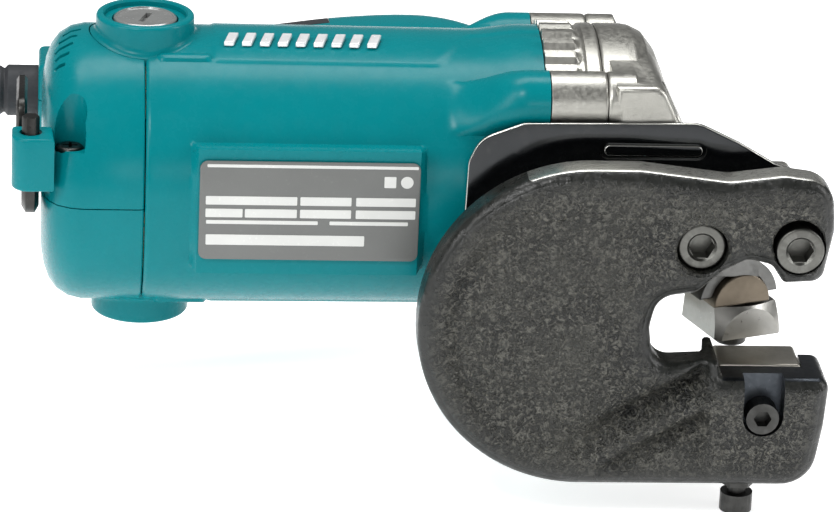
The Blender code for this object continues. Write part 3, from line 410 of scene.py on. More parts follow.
# ---- materials ----
class Look:
    """A Principled material whose variation is built up by its methods."""

    def __init__(self, name, colour, roughness, metallic=0, coat=0, specular=0.5):
        self.material = bpy.data.materials.new(name)
        self.material.use_nodes = True
        self.tree = self.material.node_tree
        self.shader = self.tree.nodes["Principled BSDF"]
        self.set("Base Color", (*colour, 1))
        self.set("Roughness", roughness)
        self.set("Metallic", metallic)
        self.set("Coat Weight", coat)
        self.set("Coat Roughness", 0.12)
        self.set("Specular IOR Level", specular)
        self.coords = self.node("ShaderNodeTexCoord").outputs["Object"]
        self.normal = None
        materials[name] = self.material

    def node(self, kind, sockets=None, **settings):
        node = self.tree.nodes.new(kind)
        for key, value in settings.items():
            setattr(node, key, value)
        for socket, value in (sockets or {}).items():
            node.inputs[socket].default_value = value
        return node

    def set(self, socket, value):
        self.shader.inputs[socket].default_value = value

    def link(self, output, target):
        self.tree.links.new(output, target)

    def noise(self, size, detail=3, rough=0.55, distortion=0, stretch=None):
        """Noise whose features are about the given size in millimetres."""
        sizes = {"Scale": 1 / (size * MM), "Detail": detail, "Roughness": rough, "Distortion": distortion}
        node = self.node("ShaderNodeTexNoise", sizes)
        place = self.coords
        if stretch:
            mapping = self.node("ShaderNodeMapping", {"Scale": stretch})
            self.link(place, mapping.inputs["Vector"])
            place = mapping.outputs["Vector"]
        self.link(place, node.inputs["Vector"])
        return node.outputs["Fac"]

    def ranged(self, value, low, high, start, end):
        limits = {"From Min": low, "From Max": high, "To Min": start, "To Max": end}
        node = self.node("ShaderNodeMapRange", limits)
        self.link(value, node.inputs["Value"])
        return node.outputs["Result"]

    def times(self, value, other):
        node = self.node("ShaderNodeMath", operation="MULTIPLY")
        self.link(value, node.inputs[0])
        self.link(other, node.inputs[1])
        return node.outputs[0]

    def tint(self, factor, colour):
        """Mixes another colour into the base colour by a factor."""
        node = self.node("ShaderNodeMix", data_type="RGBA")
        self.link(factor, node.inputs["Factor"])
        source = self.shader.inputs["Base Color"]
        if source.is_linked:
            self.link(source.links[0].from_socket, node.inputs["A"])
        else:
            node.inputs["A"].default_value = source.default_value
        node.inputs["B"].default_value = (*colour, 1)
        self.link(node.outputs["Result"], source)

    def mottle(self, size, detail, low, high, amount, colour, within=None, rough=0.55):
        """Tints the patches where noise of a size in millimetres passes from low to high."""
        factor = self.ranged(self.noise(size, detail, rough), low, high, 0, amount)
        self.tint(self.times(factor, within) if within else factor, colour)

    def rough(self, value, low, high):
        self.link(self.ranged(value, 0.3, 0.7, low, high), self.shader.inputs["Roughness"])

    def bump(self, height, depth):
        """Adds relief whose full depth is given in millimetres."""
        node = self.node("ShaderNodeBump", {"Distance": depth * MM, "Strength": 1})
        self.link(height, node.inputs["Height"])
        if self.normal is not None:
            self.link(self.normal, node.inputs["Normal"])
        self.normal = node.outputs["Normal"]
        self.link(self.normal, self.shader.inputs["Normal"])

    def worn(self, colour, amount):
        """Wear on convex edges, broken up by noise."""
        pointy = self.node("ShaderNodeNewGeometry").outputs["Pointiness"]
        edge = self.ranged(pointy, 0.52, 0.58, 0, amount)
        patchy = self.ranged(self.noise(2, 4), 0.35, 0.65, 0, 1)
        self.tint(self.times(edge, patchy), colour)


def shaded(colour, factor, lift=0):
    return tuple(min(1, c * factor + lift) for c in colour)


def plastic(name, colour, roughness, grain=0.02, grain_size=0.35, specular=0.5, flecks=0.25):
    look = Look(name, colour, roughness, specular=specular)
    look.mottle(14, 3, 0.35, 0.75, 0.35, shaded(colour, 0.82))
    look.mottle(0.8, 2, 0.62, 0.8, flecks, shaded(colour, 1.5, 0.01))
    look.rough(look.noise(3, 4), roughness * 0.85, roughness * 1.2)
    look.bump(look.noise(grain_size, 2, 0.6), grain)
    look.bump(look.noise(9, 2), 0.03)


def metal(name, colour, roughness, streak=None, grain=0.008, grain_size=0.3, tone=0.8, metallic=1,
          wear=0.4):
    """Machined or cast metal. A streak is the direction that grinding marks run along."""
    look = Look(name, colour, roughness, metallic)
    darker = shaded(colour, tone)
    look.mottle(6, 4, 0.4, 0.7, 0.6, darker)
    if streak:
        lines = look.noise(0.22, 3, 0.65, stretch=tuple(0.03 if k == streak else 1 for k in "XYZ"))
        look.rough(lines, roughness * 0.75, roughness * 1.35)
        look.tint(look.ranged(lines, 0.5, 0.75, 0, 0.35), darker)
        look.bump(lines, grain)
    else:
        look.rough(look.noise(1.2, 4), roughness * 0.8, roughness * 1.25)
        look.bump(look.noise(grain_size, 3, 0.6), grain)
    if wear:
        look.worn(shaded(colour, 1.35, 0.03), wear)


def rough_casting():
    """Black painted iron casting: coarse wrinkles inside the rim, smoother paint on the rim. The raised
    wrinkles are tinted lighter as a painted highlight, and small bright specks are painted glints.
    """
    look = Look("black_cast_iron", (0.009, 0.010, 0.009), 0.36, specular=0.4)
    rim = look.node("ShaderNodeAttribute", attribute_name="rim").outputs["Fac"]
    inner = look.ranged(rim, 2, 8, 0.05, 1)
    wrinkle = look.noise(1.5, 3, 0.6, distortion=1.4, stretch=(1, 0.4, 1))
    # painted highlight: the colour gets lighter where the wrinkle relief is high
    look.tint(look.times(look.ranged(wrinkle, 0.48, 0.6, 0, 1), inner), (0.125, 0.123, 0.106))
    look.mottle(24, 3, 0.4, 0.65, 0.6, (0.068, 0.068, 0.058), inner)
    # painted glints: small bright specks tinted into the colour
    look.mottle(0.42, 2, 0.64, 0.74, 0.6, (0.3, 0.28, 0.21), inner)
    look.rough(look.noise(2.4), 0.24, 0.4)
    look.bump(look.times(wrinkle, inner), 3)
    look.bump(look.times(look.noise(0.7, 3, 0.6), inner), 0.8)
    look.bump(look.noise(8, 2), 0.9)


def cap_plastic():
    """Glossy moulding of the brush caps."""
    look = Look("cap_plastic", (0.2, 0.205, 0.2), 0.22, coat=0.8, specular=0.8)
    look.mottle(5, 3, 0.4, 0.7, 0.4, (0.11, 0.115, 0.115))
    look.rough(look.noise(1.5, 4), 0.16, 0.3)
    look.bump(look.noise(0.4), 0.006)


def black_mirror():
    """Polished black plate with faint scratches and a stain of dust."""
    look = Look("black_chrome", (0.012, 0.014, 0.016), 0.10, 0.85, coat=0.6)
    look.mottle(4, 5, 0.55, 0.8, 0.25, (0.08, 0.08, 0.075), rough=0.7)
    look.rough(look.noise(2.5, 5, 0.7), 0.07, 0.2)
    look.bump(look.noise(0.3, 3, 0.7, stretch=(0.1, 1, 1)), 0.004)
    look.bump(look.noise(16, 2), 0.05)


plastic("teal_plastic", (0, 0.178, 0.2), 0.26, grain=0.005, specular=0.14, flecks=0)
plastic("dark_elastomer", (0.028, 0.03, 0.034), 0.62, grain=0.05, grain_size=0.5, specular=0.35)
plastic("black_plastic", (0.014, 0.015, 0.016), 0.4)
plastic("grey_label", (0.13, 0.135, 0.13), 0.36, grain=0.006)
plastic("label_print", (0.62, 0.63, 0.61), 0.45, grain=0.004)
plastic("carbon", (0.03, 0.03, 0.03), 0.7, grain=0.03)
metal("chrome", (0.8, 0.81, 0.82), 0.22, grain=0.002, metallic=0.4)
metal("cast_aluminium", (0.43, 0.425, 0.39), 0.38, grain=0.04, grain_size=0.4)
# light machined metal that also stands in for painted highlights: the yoke's upward top faces and the
# cover plate's bevel and racetrack lip
metal("machined_edge_painted_highlight", (0.6, 0.6, 0.56), 0.3, streak="X")
metal("tool_steel", (0.14, 0.14, 0.135), 0.38, grain=0.006)
metal("ground_steel", (0.44, 0.42, 0.375), 0.36, grain=0.004, wear=0.2)
metal("honed_steel", (0.33, 0.325, 0.305), 0.34, grain=0, wear=0)
metal("dark_machined", (0.05, 0.056, 0.064), 0.34, grain=0.01, tone=0.5)
metal("black_oxide_steel", (0.05, 0.05, 0.048), 0.34, grain=0.01, tone=0.6)
metal("bolt_steel", (0.13, 0.13, 0.12), 0.36, grain=0.012, tone=0.55)
metal("bronze", (0.155, 0.13, 0.1), 0.38, grain=0.006, tone=0.85)
metal("brass", (0.7, 0.52, 0.22), 0.3)
metal("copper_wire", (0.6, 0.25, 0.12), 0.38, streak="Y")
rough_casting()
cap_plastic()
black_mirror()


# ---- yoke ----
# x, z and corner radius, clockwise from the top of the closed end's half circle to its foot
YOKE_CORNERS = [
    (112, 19.35, 0), (124, 19.35, 12), (146.5, 16.6, 12), (160, 18.4, 8),
    (172.8, 16.8, 8), (173.9, 4, 8), (171.6, -9.9, 3.5), (161.8, -10.6, 1.5), (158.6, -5.8, 3),
    (152.4, -4.2, 4), (146.4, -7.4, 4), (139.8, -13.4, 5), (130, -14.9, 7), (128.3, -23, 7),
    (129.6, -33, 7), (146.6, -32.1, 1), (147.3, -36.8, 1.2), (175.7, -36.8, 3), (174.9, -50, 8),
    (172.4, -66.5, 9), (112, -66.55, 0),
]
WEB_RELIEF = np.array([
    (60, 25), (180, 25), (180, 9.5), (129, 9.5), (125, 5), (125, -14), (130, -20),
    (144.5, -26), (144.5, -70), (60, -70),
])
RIB = np.array([(109, -62.6), (117.4, -58.1), (127.3, -52.2), (137.3, -46.5), (143, -43)])
RIB_SLOPE = radians(30.5)
CLAMP_SLOT_R = 5.1


def offset_plate(name, loop, reaches, front, back, step):
    """A plate between two surfaces y = front(x, z, d) and y = back(x, z, d), with d the distance to its
    outline. Rows of points run along the outline at the given reaches, and a grid fills the rest."""
    if area(loop) < 0:
        loop = loop[::-1]
    ahead, behind = np.roll(loop, -1, axis=0), np.roll(loop, 1, axis=0)
    along = (ahead - behind) / np.linalg.norm(ahead - behind, axis=1)[:, None]
    inward = np.stack([-along[:, 1], along[:, 0]], 1)
    rows = [loop]
    for reach in reaches[1:]:
        row = loop + inward * reach
        row = row[inside(row, loop)]
        rows.append(row[np.abs(distance_to(row, loop) - reach) < 0.08 * reach + 0.01])
    low, high = loop.min(0), loop.max(0)
    us, vs = np.meshgrid(np.arange(low[0], high[0], step), np.arange(low[1], high[1], step * 0.87))
    us = us + (np.arange(len(vs)) % 2)[:, None] * step / 2
    grid = np.stack([us.ravel(), vs.ravel()], 1)
    grid = grid[inside(grid, loop)]
    grid = grid[distance_to(grid, loop) > reaches[-1] + step * 0.5]
    flat = np.concatenate(rows + [grid])
    count = len(loop)
    rim = [(i, (i + 1) % count) for i in range(count)]
    found, _, faces, origins, _, _ = delaunay_2d_cdt([Vector(p) for p in flat], rim, [], 0, 1e-6)
    place = {source: i for i, sources in enumerate(origins) for source in sources}
    found = np.array([tuple(v) for v in found])
    faces = np.array(faces)
    faces = faces[inside(found[faces].mean(axis=1), loop)]
    away = distance_to(found, loop)
    away[[place[i] for i in range(count)]] = 0
    x, z = found.T
    near = np.stack([x, front(x, z, away), z], 1)
    far = np.stack([x, back(x, z, away), z], 1)
    shift = len(found)
    rim = [(place[i], place[j]) for i, j in rim]
    walls = [(i, j, j + shift, i + shift) for i, j in rim]
    every = [tuple(f) for f in faces] + [tuple(f[::-1] + shift) for f in faces] + walls
    used = sorted({i for face in every for i in face})
    rename = {old: new for new, old in enumerate(used)}
    points = np.concatenate([near, far])[used]
    return make(name, points, [[rename[i] for i in face] for face in every])


def yoke_front(x, z, d):
    """Front of the casting: rounded rim, bead and hollow along the closed end, dished web with a rib."""
    inner = np.clip(1 - d / YOKE_RIM_R, 0, 1)
    depth = YOKE_RIM_R * 0.8 * (1 - np.sqrt(np.clip(1 - inner ** 2, 0, 1)))
    closed_end = ease(-x, -104, -84) * ease(z, -58, -40)
    depth += closed_end * 0.9 * bell(d, 8, 1.5)
    head = ease(x, 122, 138) * ease(z, -20, -12)
    jaw = ease(x, 142.6, 145.2) * ease(-z, 26, 34)
    web = (1 - head) * (1 - jaw)
    depth += web * 1.1 * ease(d, 4, 16)
    gap, share = along_path(np.stack([x, z], 1), RIB)
    above = (z - RIB[2][1]) * cos(RIB_SLOPE) - (x - RIB[2][0]) * sin(RIB_SLOPE)
    fade = ease(x, 104, 124) * ease(-x, -145.5, -142)
    depth -= fade * bell(gap, 0, 2.2) * web
    depth += fade * (2.4 + 3.4 * share) * bell(above, 6, 2.7)
    depth += fade * (1.2 + 1.6 * share) * bell(above, -4.6, 1.9) * ease(d, 2, 6)
    return YOKE_FRONT + np.maximum(depth, 0)


def yoke_back(x, z, d):
    """Back of the casting: thick behind the bolts and the jaw, and cut back behind the web."""
    points = np.stack([x, z], 1)
    wall = ease(distance_to(points, WEB_RELIEF), 0, 1.6)
    return YOKE_BACK + (YOKE_WEB_BACK - YOKE_BACK) * np.where(inside(points, WEB_RELIEF), wall, 0)


def build_yoke():
    corners = rounded(YOKE_CORNERS, 10)
    corners += arc(YOKE_BEND, YOKE_BEND_R, radians(-90), radians(-270), 60)[1:-1]
    loop = resample(corners, 0.8)
    reaches = [YOKE_RIM_R * (1 - cos(QUARTER * k / 9)) for k in range(10)] + [5.2, 6.2, 7.2, 8.2, 9.2]
    obj = offset_plate("yoke_casting", loop, reaches, yoke_front, yoke_back, 0.7)
    recess_low = (BLADE_LEFT - GAP, BLADE_NEAR - GAP, BLADE_TOP - BLADE_SIDE - GAP)
    cut(obj, block("recess", recess_low, (BLADE_LEFT + BLADE_SIDE + GAP, -30, -36)))
    for bolt, counterbore, seat in zip(YOKE_BOLTS, COUNTERBORES, YOKE_BOLT_SEATS):
        hole(obj, YOKE_BOLT_HOLE_R, "Y", -60, -30, bolt, 48)
        for centre in dict.fromkeys((bolt, counterbore)):
            profile = [(-62, 0), (-62, COUNTERBORE_R + 0.9), (-56.4, COUNTERBORE_R + 0.6)]
            profile += [(-55.7, COUNTERBORE_R), (seat, COUNTERBORE_R), (seat, 0)]
            cut(obj, turned("counterbore", profile, "Y", centre, 72))
    x, z = CLAMP_AT
    foot = z - 4.6
    slot = [(x - 5.2, foot, CLAMP_SLOT_R), (x + 5.2, foot, CLAMP_SLOT_R), (x + 5.2, -30, 0),
            (x - 5.2, -30, 0)]
    cut(obj, prism("slot", rounded(slot, 12), "Y", -60, -50.8))
    hole(obj, CLAMP_BORE_R, "Y", -52, -44, CLAMP_AT, 48)
    hole(obj, 2.7, "Z", -70, -54, ADJUSTER_AT, 48)
    rim = obj.data.attributes.new("rim", "FLOAT", "POINT")
    rim.data.foreach_set("value", distance_to(tool_points(obj)[:, [0, 2]], loop).astype(np.float32))
    looks = ("black_cast_iron", "dark_machined", "machined_edge_painted_highlight")
    placed(obj, "tool", "black_cast_iron", "yoke", looks=looks)
    for face in obj.data.polygons:
        x, y, z = to_tool(face.center)
        normal = face.normal
        on_jaw = x > 146 and -38 < z < -36 and normal.z > 0.8
        in_slot = abs(x - CLAMP_AT[0]) < 5.4 and -52.2 < z < -38 and YOKE_FRONT + 0.3 < y < -50
        # painted highlight: faces of the yoke's top edge that face up get the light metal, standing in for
        # light from above
        painted_top_highlight = z > 14 and x > 96 and normal.z > 0.75 and abs(normal.y) < 0.45
        if on_jaw or in_slot:
            face.material_index = looks.index("dark_machined")
        elif painted_top_highlight:
            face.material_index = looks.index("machined_edge_painted_highlight")


build_yoke()

# every CAD node gets its slot's material
for entry in frame["record"]["subparts"]:
    obj = frame["nodes"][entry["node"]]
    obj.data.materials.clear()
    obj.data.materials.append(materials[entry["material_slot"]])
    shade(obj, 35)


# ---- barrel and gear case ----
SHELL_R = 33.2  # bore of the barrel
RIB_PITCH = 9  # degrees between the rear gear case's ribs
PANEL_STEP = 0.35
BOSS_FOOT = 1.5
FLANGE_HOLE_R = 2.8
CRANK_AT = (-20, -8)
HEAD = [
    (119, -14, 0), (143, -14, 1.5), (145, -10.4, 1.5), (168.6, -10.4, 2.5), (172, -6, 2),
    (172, 0, 2), (168, 5.2, 2), (152, 5.2, 3), (141, 14, 3), (136.6, 23, 2),
    (131, 34.8, 4), (119, 34.8, 0),
]
PLATE_OUTLINE = [
    (81, -12, 3), (81.7, 15, 6), (84.4, 21.2, 8), (95.3, 25.5, 8), (140.2, 26.1, 9),
    (150.7, 21.1, 5), (160.1, 15.6, 4), (171.5, 12, 3), (171.5, -9.9, 3), (143, -9.9, 2),
    (139, -13, 3),
]


def turns(count):
    """The angles of a full turn in equal steps."""
    return np.arange(count) / count * tau


def wrapped(angle):
    return np.arctan2(np.sin(angle), np.cos(angle))


def flanged(radius, a, boss):
    """The radius grown over the four screw bosses: boss runs from 0 (round) to 1 (full flange)."""
    result = radius + 0 * a
    for y, z in FLANGE_BOSSES:
        swing = wrapped(a - atan2(z, y))
        distance = hypot(y, z)
        side = distance * np.sin(swing)
        on = (np.abs(side) < FLANGE_BOSS_R) & (np.abs(swing) < 1)
        far = distance * np.cos(swing) + np.sqrt(np.clip(FLANGE_BOSS_R ** 2 - side ** 2, 0, None))
        result = np.maximum(result, np.where(on, radius + (far - radius) * boss, 0))
    return result


def round_rings(xs, radius, a, cheek_from):
    """Rings around the motor axis, flattened to the cheek beyond a given x."""
    rings = []
    for x in xs:
        r = radius(np.full(len(a), float(x)), a)
        y = r * np.cos(a)
        if x > cheek_from:
            y = np.maximum(y, CHEEK)
        rings.append(np.stack([np.full(len(a), x), y, r * np.sin(a)], 1))
    return rings


def tube(name, xs, radius, inner, cheek_from):
    """A hollow skin around the motor axis."""
    a = turns(320)
    rings = round_rings(xs, radius, a, cheek_from)
    for x in (xs[-1], xs[0]):
        rings.append(np.stack([np.full(len(a), x), inner * np.cos(a), inner * np.sin(a)], 1))
    return skin(name, rings, closed=True)


def motor_radius(x, a):
    """Barrel with a flat pad for the rating plate, a raised panel, a short rib and the front bosses."""
    base = BARREL_R - 0.5 * x / HOUSING_END + 1.5 * ease(x, 84, 98)
    off = np.abs(wrapped(a))
    limit = np.radians(114.5 - 24.5 * np.clip((x - 75) / 9, 0, 1))
    panel = PANEL_STEP * ease(limit - off, -0.012, 0.012) * ease(x, 17, 18) * ease(off, 0.9, 0.95)
    base = base + panel
    gap = np.hypot(np.clip(np.abs(x - 10) - 5.5, 0, None), (off - radians(112)) * BARREL_R)
    base = base + 0.8 * (1 - ease(gap, 0.8, 1.7))
    flat = np.minimum(36.4 / np.maximum(-np.cos(a), 0.3), 60)
    height = np.abs(flat * np.sin(a))
    on_pad = (1 - ease(height, 16.6, 19.6)) * ease(x, 11.6, 13.4) * (1 - ease(x, 69.8, 71.6))
    base = base + np.clip(flat - base, 0, None) * on_pad * (np.cos(a) < 0)
    edge = np.clip(1.2 - x, 0, 1.2)
    return flanged(base, a, ease(x, 76, 97)) - 0.5 * edge ** 2


def boss_ring(side):
    """The ring around a brush cap, with a fillet draped over the barrel at its foot."""
    angles = turns(96)

    def ring_at(radius, level, draped=False):
        y = radius * np.sin(angles)
        z = level + (np.sqrt(BARREL_R ** 2 - y ** 2) if draped else 0 * y)
        return np.stack([radius * np.cos(angles), y, side * z], 1)

    rings = [ring_at(BRUSH_BOSS_R + BOSS_FOOT, -2, True)]
    for k in range(7):
        t = QUARTER * k / 6
        rise = BOSS_FOOT * (1 - cos(t))
        rings.append(ring_at(BRUSH_BOSS_R + BOSS_FOOT * (1 - sin(t)), rise - 0.1, True))
    for k in range(6):
        t = QUARTER * k / 5
        rings.append(ring_at(BRUSH_BOSS_R - 1 + cos(t), BRUSH_BOSS_TOP - 1 + sin(t)))
    lip = (11, BRUSH_BOSS_TOP), (10.6, BRUSH_BOSS_TOP - 0.5)
    for radius, level in (*lip, (10.6, 39.2), (8.6, 39.2), (8.6, 32)):
        rings.append(ring_at(radius, level))
    return skin("boss", rings, closed=True)


def build_motor_shell():
    xs = [0.15, 0.3, 0.6, 1, 1.4, 2.5]
    xs += list(np.arange(3.2, 18.4, 0.6)) + list(np.arange(19, 69.5, 2.4))
    xs += list(np.arange(69.8, 98.5, 0.9)) + [100, HOUSING_END - 0.2, HOUSING_END]
    obj = tube("motor_shell", xs, motor_radius, SHELL_R, 78)
    for side in (-1, 1):
        hole(obj, 9.5, "Z", side * 20, side * 45)
        join(obj, boss_ring(side))
    for boss in FLANGE_BOSSES:
        hole(obj, 2.6, "X", 96, 110, boss, 24)
    placed(obj, "tool", "teal_plastic", "motor_housing")


def rear_case_radius(x, a):
    degrees = np.degrees(np.abs(wrapped(a)))
    phase = np.abs((degrees - 120 + RIB_PITCH / 2) % RIB_PITCH - RIB_PITCH / 2)
    rib = (1 - ease(phase, 2.1, 3.1)) * (1 - ease(x, 110.2, 112.2))
    base = 37.2 + 0.8 * ease(x, 112.4, 113.4) + 1.3 * rib
    lip = np.clip(x - 116.2, 0, 0.7)
    return flanged(base, a, 1) - 0.8 * lip ** 2


def front_case_radius(x, a):
    stations = [117, 124.3, 126.3, 129.5, 132.5, 134.6, 135.5]
    sizes = [GEAR_CASE_R, GEAR_CASE_R, 37.7, 36.2, 32.4, 27.5, 22.5]
    base = np.interp(x, stations, sizes)
    lip = np.clip(117.9 - x, 0, 0.7)
    full = 1 - ease(x, 124.4, 126.2)
    return flanged(base, a, 1) * full + base * (1 - full) - 0.8 * lip ** 2


def build_gear_case():
    xs = [102.5, 102.7] + list(np.arange(103.2, 113.6, 0.5)) + [115, 116.2, 116.5, 116.75, 116.85]
    rear = tube("gear_case_rear", xs, rear_case_radius, 34, 100)
    for boss in FLANGE_BOSSES:
        hole(rear, FLANGE_HOLE_R, "X", 100, 120, boss, 24)
    placed(rear, "tool", "cast_aluminium", "gear_housing_rear")

    xs = [117.15, 117.3, 117.6, 118, 120, 123] + list(np.arange(124.2, 135.4, 0.4)) + [135.5]
    front = skin("gear_case_front", round_rings(xs, front_case_radius, turns(240), 0))
    join(front, prism("head", rounded(HEAD, 6), "Y", CHEEK, -6, 1.6))
    inner = [(115, 0), (115, 34), (125.6, 34), (130, 30), (132.8, 24), (132.8, 0)]
    cut(front, turned("cavity", inner))
    for radius, low, high in ((14.2, 116, 133), (7.2, 131, 143), (6, 142, 147.5)):
        hole(front, radius, "X", low, high, CRANK_AT)
    cut(front, block("ram_slot", (146.6, -31, -20), (159.6, -9, 3.6)))
    hole(front, 3.2, "X", 158, 170.4, CRANK_AT, 32)
    for bolt in YOKE_BOLTS:
        hole(front, 4.15, "Y", -40, -31.4, bolt, 48)
    for boss in FLANGE_BOSSES:
        hole(front, FLANGE_HOLE_R, "X", 115, 130, boss, 24)
        hole(front, 5.6, "X", 126, 140, boss, 48)
    placed(front, "tool", "cast_aluminium", "gear_housing_front")


def build_plate():
    """The polished cover plate with its raised racetrack, its bevelled edge and the racetrack's lip
    painted bright as a highlight.
    """
    obj = prism("cover_plate", rounded(PLATE_OUTLINE, 8), "Y", PLATE_FRONT, PLATE_BACK, 0.45)
    for bolt in YOKE_BOLTS:
        hole(obj, YOKE_BOLT_HOLE_R, "Y", -50, -30, bolt, 48)
    track = rounded(rectangle((115, 16.2), (142.4, 21), 2.39), 10)
    cut(obj, prism("track", track, "Y", PLATE_FRONT - 2, PLATE_FRONT + 0.9))
    raised = rounded(rectangle((116.2, 17.2), (141.3, 20), 1.35), 10)
    join(obj, prism("raised", raised, "Y", PLATE_FRONT - 0.15, PLATE_BACK - 0.2, 0.3))
    looks = ("black_chrome", "machined_edge_painted_highlight")
    placed(obj, "tool", "black_chrome", "polished_plate", looks=looks)
    # painted highlight: the bevel and the racetrack's side faces get the light metal
    for face in obj.data.polygons:
        if abs(face.normal.y) < 0.93 and to_tool(face.center)[1] < PLATE_FRONT + 0.7:
            face.material_index = looks.index("machined_edge_painted_highlight")


# ---- fasteners ----
def socket_screw(name, sizes, axis, at, base, length):
    """A cap screw with a rounded head below base, a chamfered hex socket and a shank above base.
    The sizes are the head's radius and height, the socket's width and the shank's radius."""
    head_r, head_height, socket, shank_r = sizes
    top = base - head_height
    profile = [(base, 0, 0), (base, head_r, 0.3), (top, head_r, 0.7), (top, 0, 0)]
    head = turned(name, rounded(profile, 5), axis, at)
    cut(head, prism("socket", hexagon(socket, at), axis, top - 2, top + head_height * 0.62))
    wide = socket / sqrt(3) + 0.35
    funnel = [(top - 0.4, 0), (top - 0.4, wide + 0.4), (top + 0.6, wide - 0.6), (top + 0.6, 0)]
    cut(head, turned("funnel", funnel, axis, at, 64))
    return join(head, rod("shank", shank_r, axis, base - 0.8, base + length, at, 0.4, 48))


def build_yoke_screws():
    for k, (at, seat) in enumerate(zip(YOKE_BOLTS, YOKE_BOLT_SEATS)):
        base = seat - GAP
        sizes = (6.15, 8, 6, 4)
        screw = socket_screw(f"yoke_cap_screw_{k + 1}", sizes, "Y", at, base, YOKE_BOLT_END - base)
        placed(screw, "tool", "black_oxide_steel", f"yoke_bolt_{k + 1}", looks=("bolt_steel",))


# ---- blades ----
ACROSS = np.array([cos(INSERT_TURN), sin(INSERT_TURN), 0])
ALONG = np.array([-sin(INSERT_TURN), cos(INSERT_TURN), 0])
INSERT_CENTRE = np.array(INSERT_CORNER) + (ACROSS + ALONG) * INSERT_SIDE / 2


def seated(obj, base):
    """Moves a mesh from its own origin to a base point, turned as the moving insert is."""
    x, y, z = tool_points(obj).T[:, :, None]
    moved = base + x * ACROSS + y * ALONG + z * np.array([0, 0, 1])
    obj.data.vertices.foreach_set("co", to_row(moved).astype(np.float32).ravel())
    obj.data.update()
    return shade(obj)


def shank_bar(name, radius, start, end, lowest=None, edge=0.5):
    """A round bar along the shank's axis, flat below its lowest level if one is given."""
    outline = circle(radius)
    if lowest is not None:
        low = asin(lowest / radius)
        outline = arc((0, 0), radius, low, pi - low, 64)
    base = INSERT_CENTRE + ACROSS * SHANK_OFFSET
    base[2] = SHANK_HEIGHT
    return seated(prism(name, outline, "Y", start, end, edge), base)


def build_blades():
    centre = (INSERT_CENTRE[0], INSERT_CENTRE[1])
    sides = rectangle((BLADE_LEFT, BLADE_TOP - BLADE_SIDE), (BLADE_LEFT + BLADE_SIDE, BLADE_TOP), 1)
    fixed = prism("fixed_insert", rounded(sides, 4), "Y", BLADE_NEAR, CUT_PLANE, 0.5)
    hole(fixed, CLAMP_BORE_R, "Y", -50, -30, CLAMP_AT, 48)
    placed(fixed, "tool", "tool_steel", "fixed_blade", looks=("ground_steel",))

    shank = shank_bar("shank_holder", SHANK_R, -9, 7, -0.3)
    hole(shank, 2.2, "Z", -30, -21.5, centre, 32)
    placed(shank, "ram_group", "bronze", "blade_shank")

    half = INSERT_SIDE / 2
    taper = half - 0.6
    sides = [(-half, 0, 0.4), (half, 0, 0.4), (taper, 8.6, 0.6), (-taper, 8.6, 0.6)]
    moving = prism("moving_insert", rounded(sides, 4), "Y", -half, half)
    cone = [(-half - 3, 30), (-half - 3, LAND_R - 3.6), (-half, LAND_R), (-half + 6.5, LAND_R + 9),
            (-half + 6.5, 30)]
    cut(moving, turned("taper", cone, "Y", (0.6, -0.4)))
    hole(seated(moving, INSERT_CENTRE), 2.6, "Z", -40, -20, centre, 48)
    placed(moving, "ram_group", "tool_steel", "moving_blade", looks=("honed_steel",))

    ram = block("ram_block", (147, -30.6, -18.6), (159.2, -9.4, 0.9), 0.5)
    cut(ram, block("slot", (140, -26.2, -15.9), (170, -13.8, -1.3)))
    join(ram, shank_bar("saddle", SADDLE_R, -7, 9.5, 1.6))
    cut(ram, shank_bar("seat", SHANK_R + GAP, -20, 20, edge=0))
    placed(ram, "ram_group", "tool_steel", "ram")

    screw = socket_screw("insert_screw", (4.2, 4.2, 3, 1.95), "Z", centre, BOLT_SEAT, 11.5)
    placed(screw, "ram_group", "black_oxide_steel", "moving_blade_bolt")


# ---- rear cover, handle and grip ----
# x and y of the centre line, half height in the loop's plane, half width along Z
HANDLE_STATIONS = [
    (-13.2, 24, 12.4, 19), (-13.2, 36, 12.6, 18.5), (-12, 48, 13.2, 17), (-2, 56.5, 13, 15.5),
    (16, 59, 12, 14.5), (36, 65, 11.8, 14.5), (58, 71.5, 13, 15), (78, 74, 12.5, 15),
    (90, 68, 10.5, 14), (94.5, 56, 8.4, 13.5), (94, 44, 7.8, 14.5), (93.5, 32, 8.4, 15),
]
HANDLE_SQUARENESS = 0.62  # exponent of the section, where 1 is an ellipse
# x and y of each handle screw, and the height of its seat
SCREW_SEATS = [(-19, -27.5, 11.6), (-14, 41, 13), (3, 57, 10), (93.5, 52, 9.5)]
# x, y and width across flats of the stored keys
KEYS = [(-29, -30, 4), (-31.4, -23.6, 2.5)]
HOLDER = [(-23, -35.6, 0), (-33.8, -36.2, 4.5), (-33.8, -19.5, 3), (-24, -19, 0)]
TRIGGER_PIVOT = (63, 62.5)
TRIGGER_PIN_R = 1.8
LOCK_R = 4
LOCK_FLANGE_R = 5.4
SCREW_R = 1.7
SCREW_HEAD_R = 3.6
GRIP_DEPTH = 1.4
TRIGGER_OUTLINE = [
    (31, 55.5, 1.8), (27.5, 50.5, 1.8), (31, 47.8, 1.8), (45, 50, 6), (60, 56.5, 3),
    (65, 60, 1.8), (65, 64.8, 1.8), (60, 65.2, 1.8), (44, 60, 3),
]
LOCK_AT = (71, 73.5)
LOCK_PROFILE = [
    (-17.2, 0, 0), (-17.2, LOCK_R, 0.8), (-11.4, LOCK_R, 0), (-11.4, LOCK_FLANGE_R, 0.2),
    (-9.6, LOCK_FLANGE_R, 0.2), (-9.6, 0, 0),
]
COVER_PROFILE = [
    (-26.3, 0), (-26.3, 19), (-26, 23), (-25.3, 27), (-24, 30.6), (-22, 33.3), (-19, 35.2),
    (-15.5, 36), (-1.2, 36), (-0.5, 35.85), (-0.15, 35.4), (-0.15, 0),
]


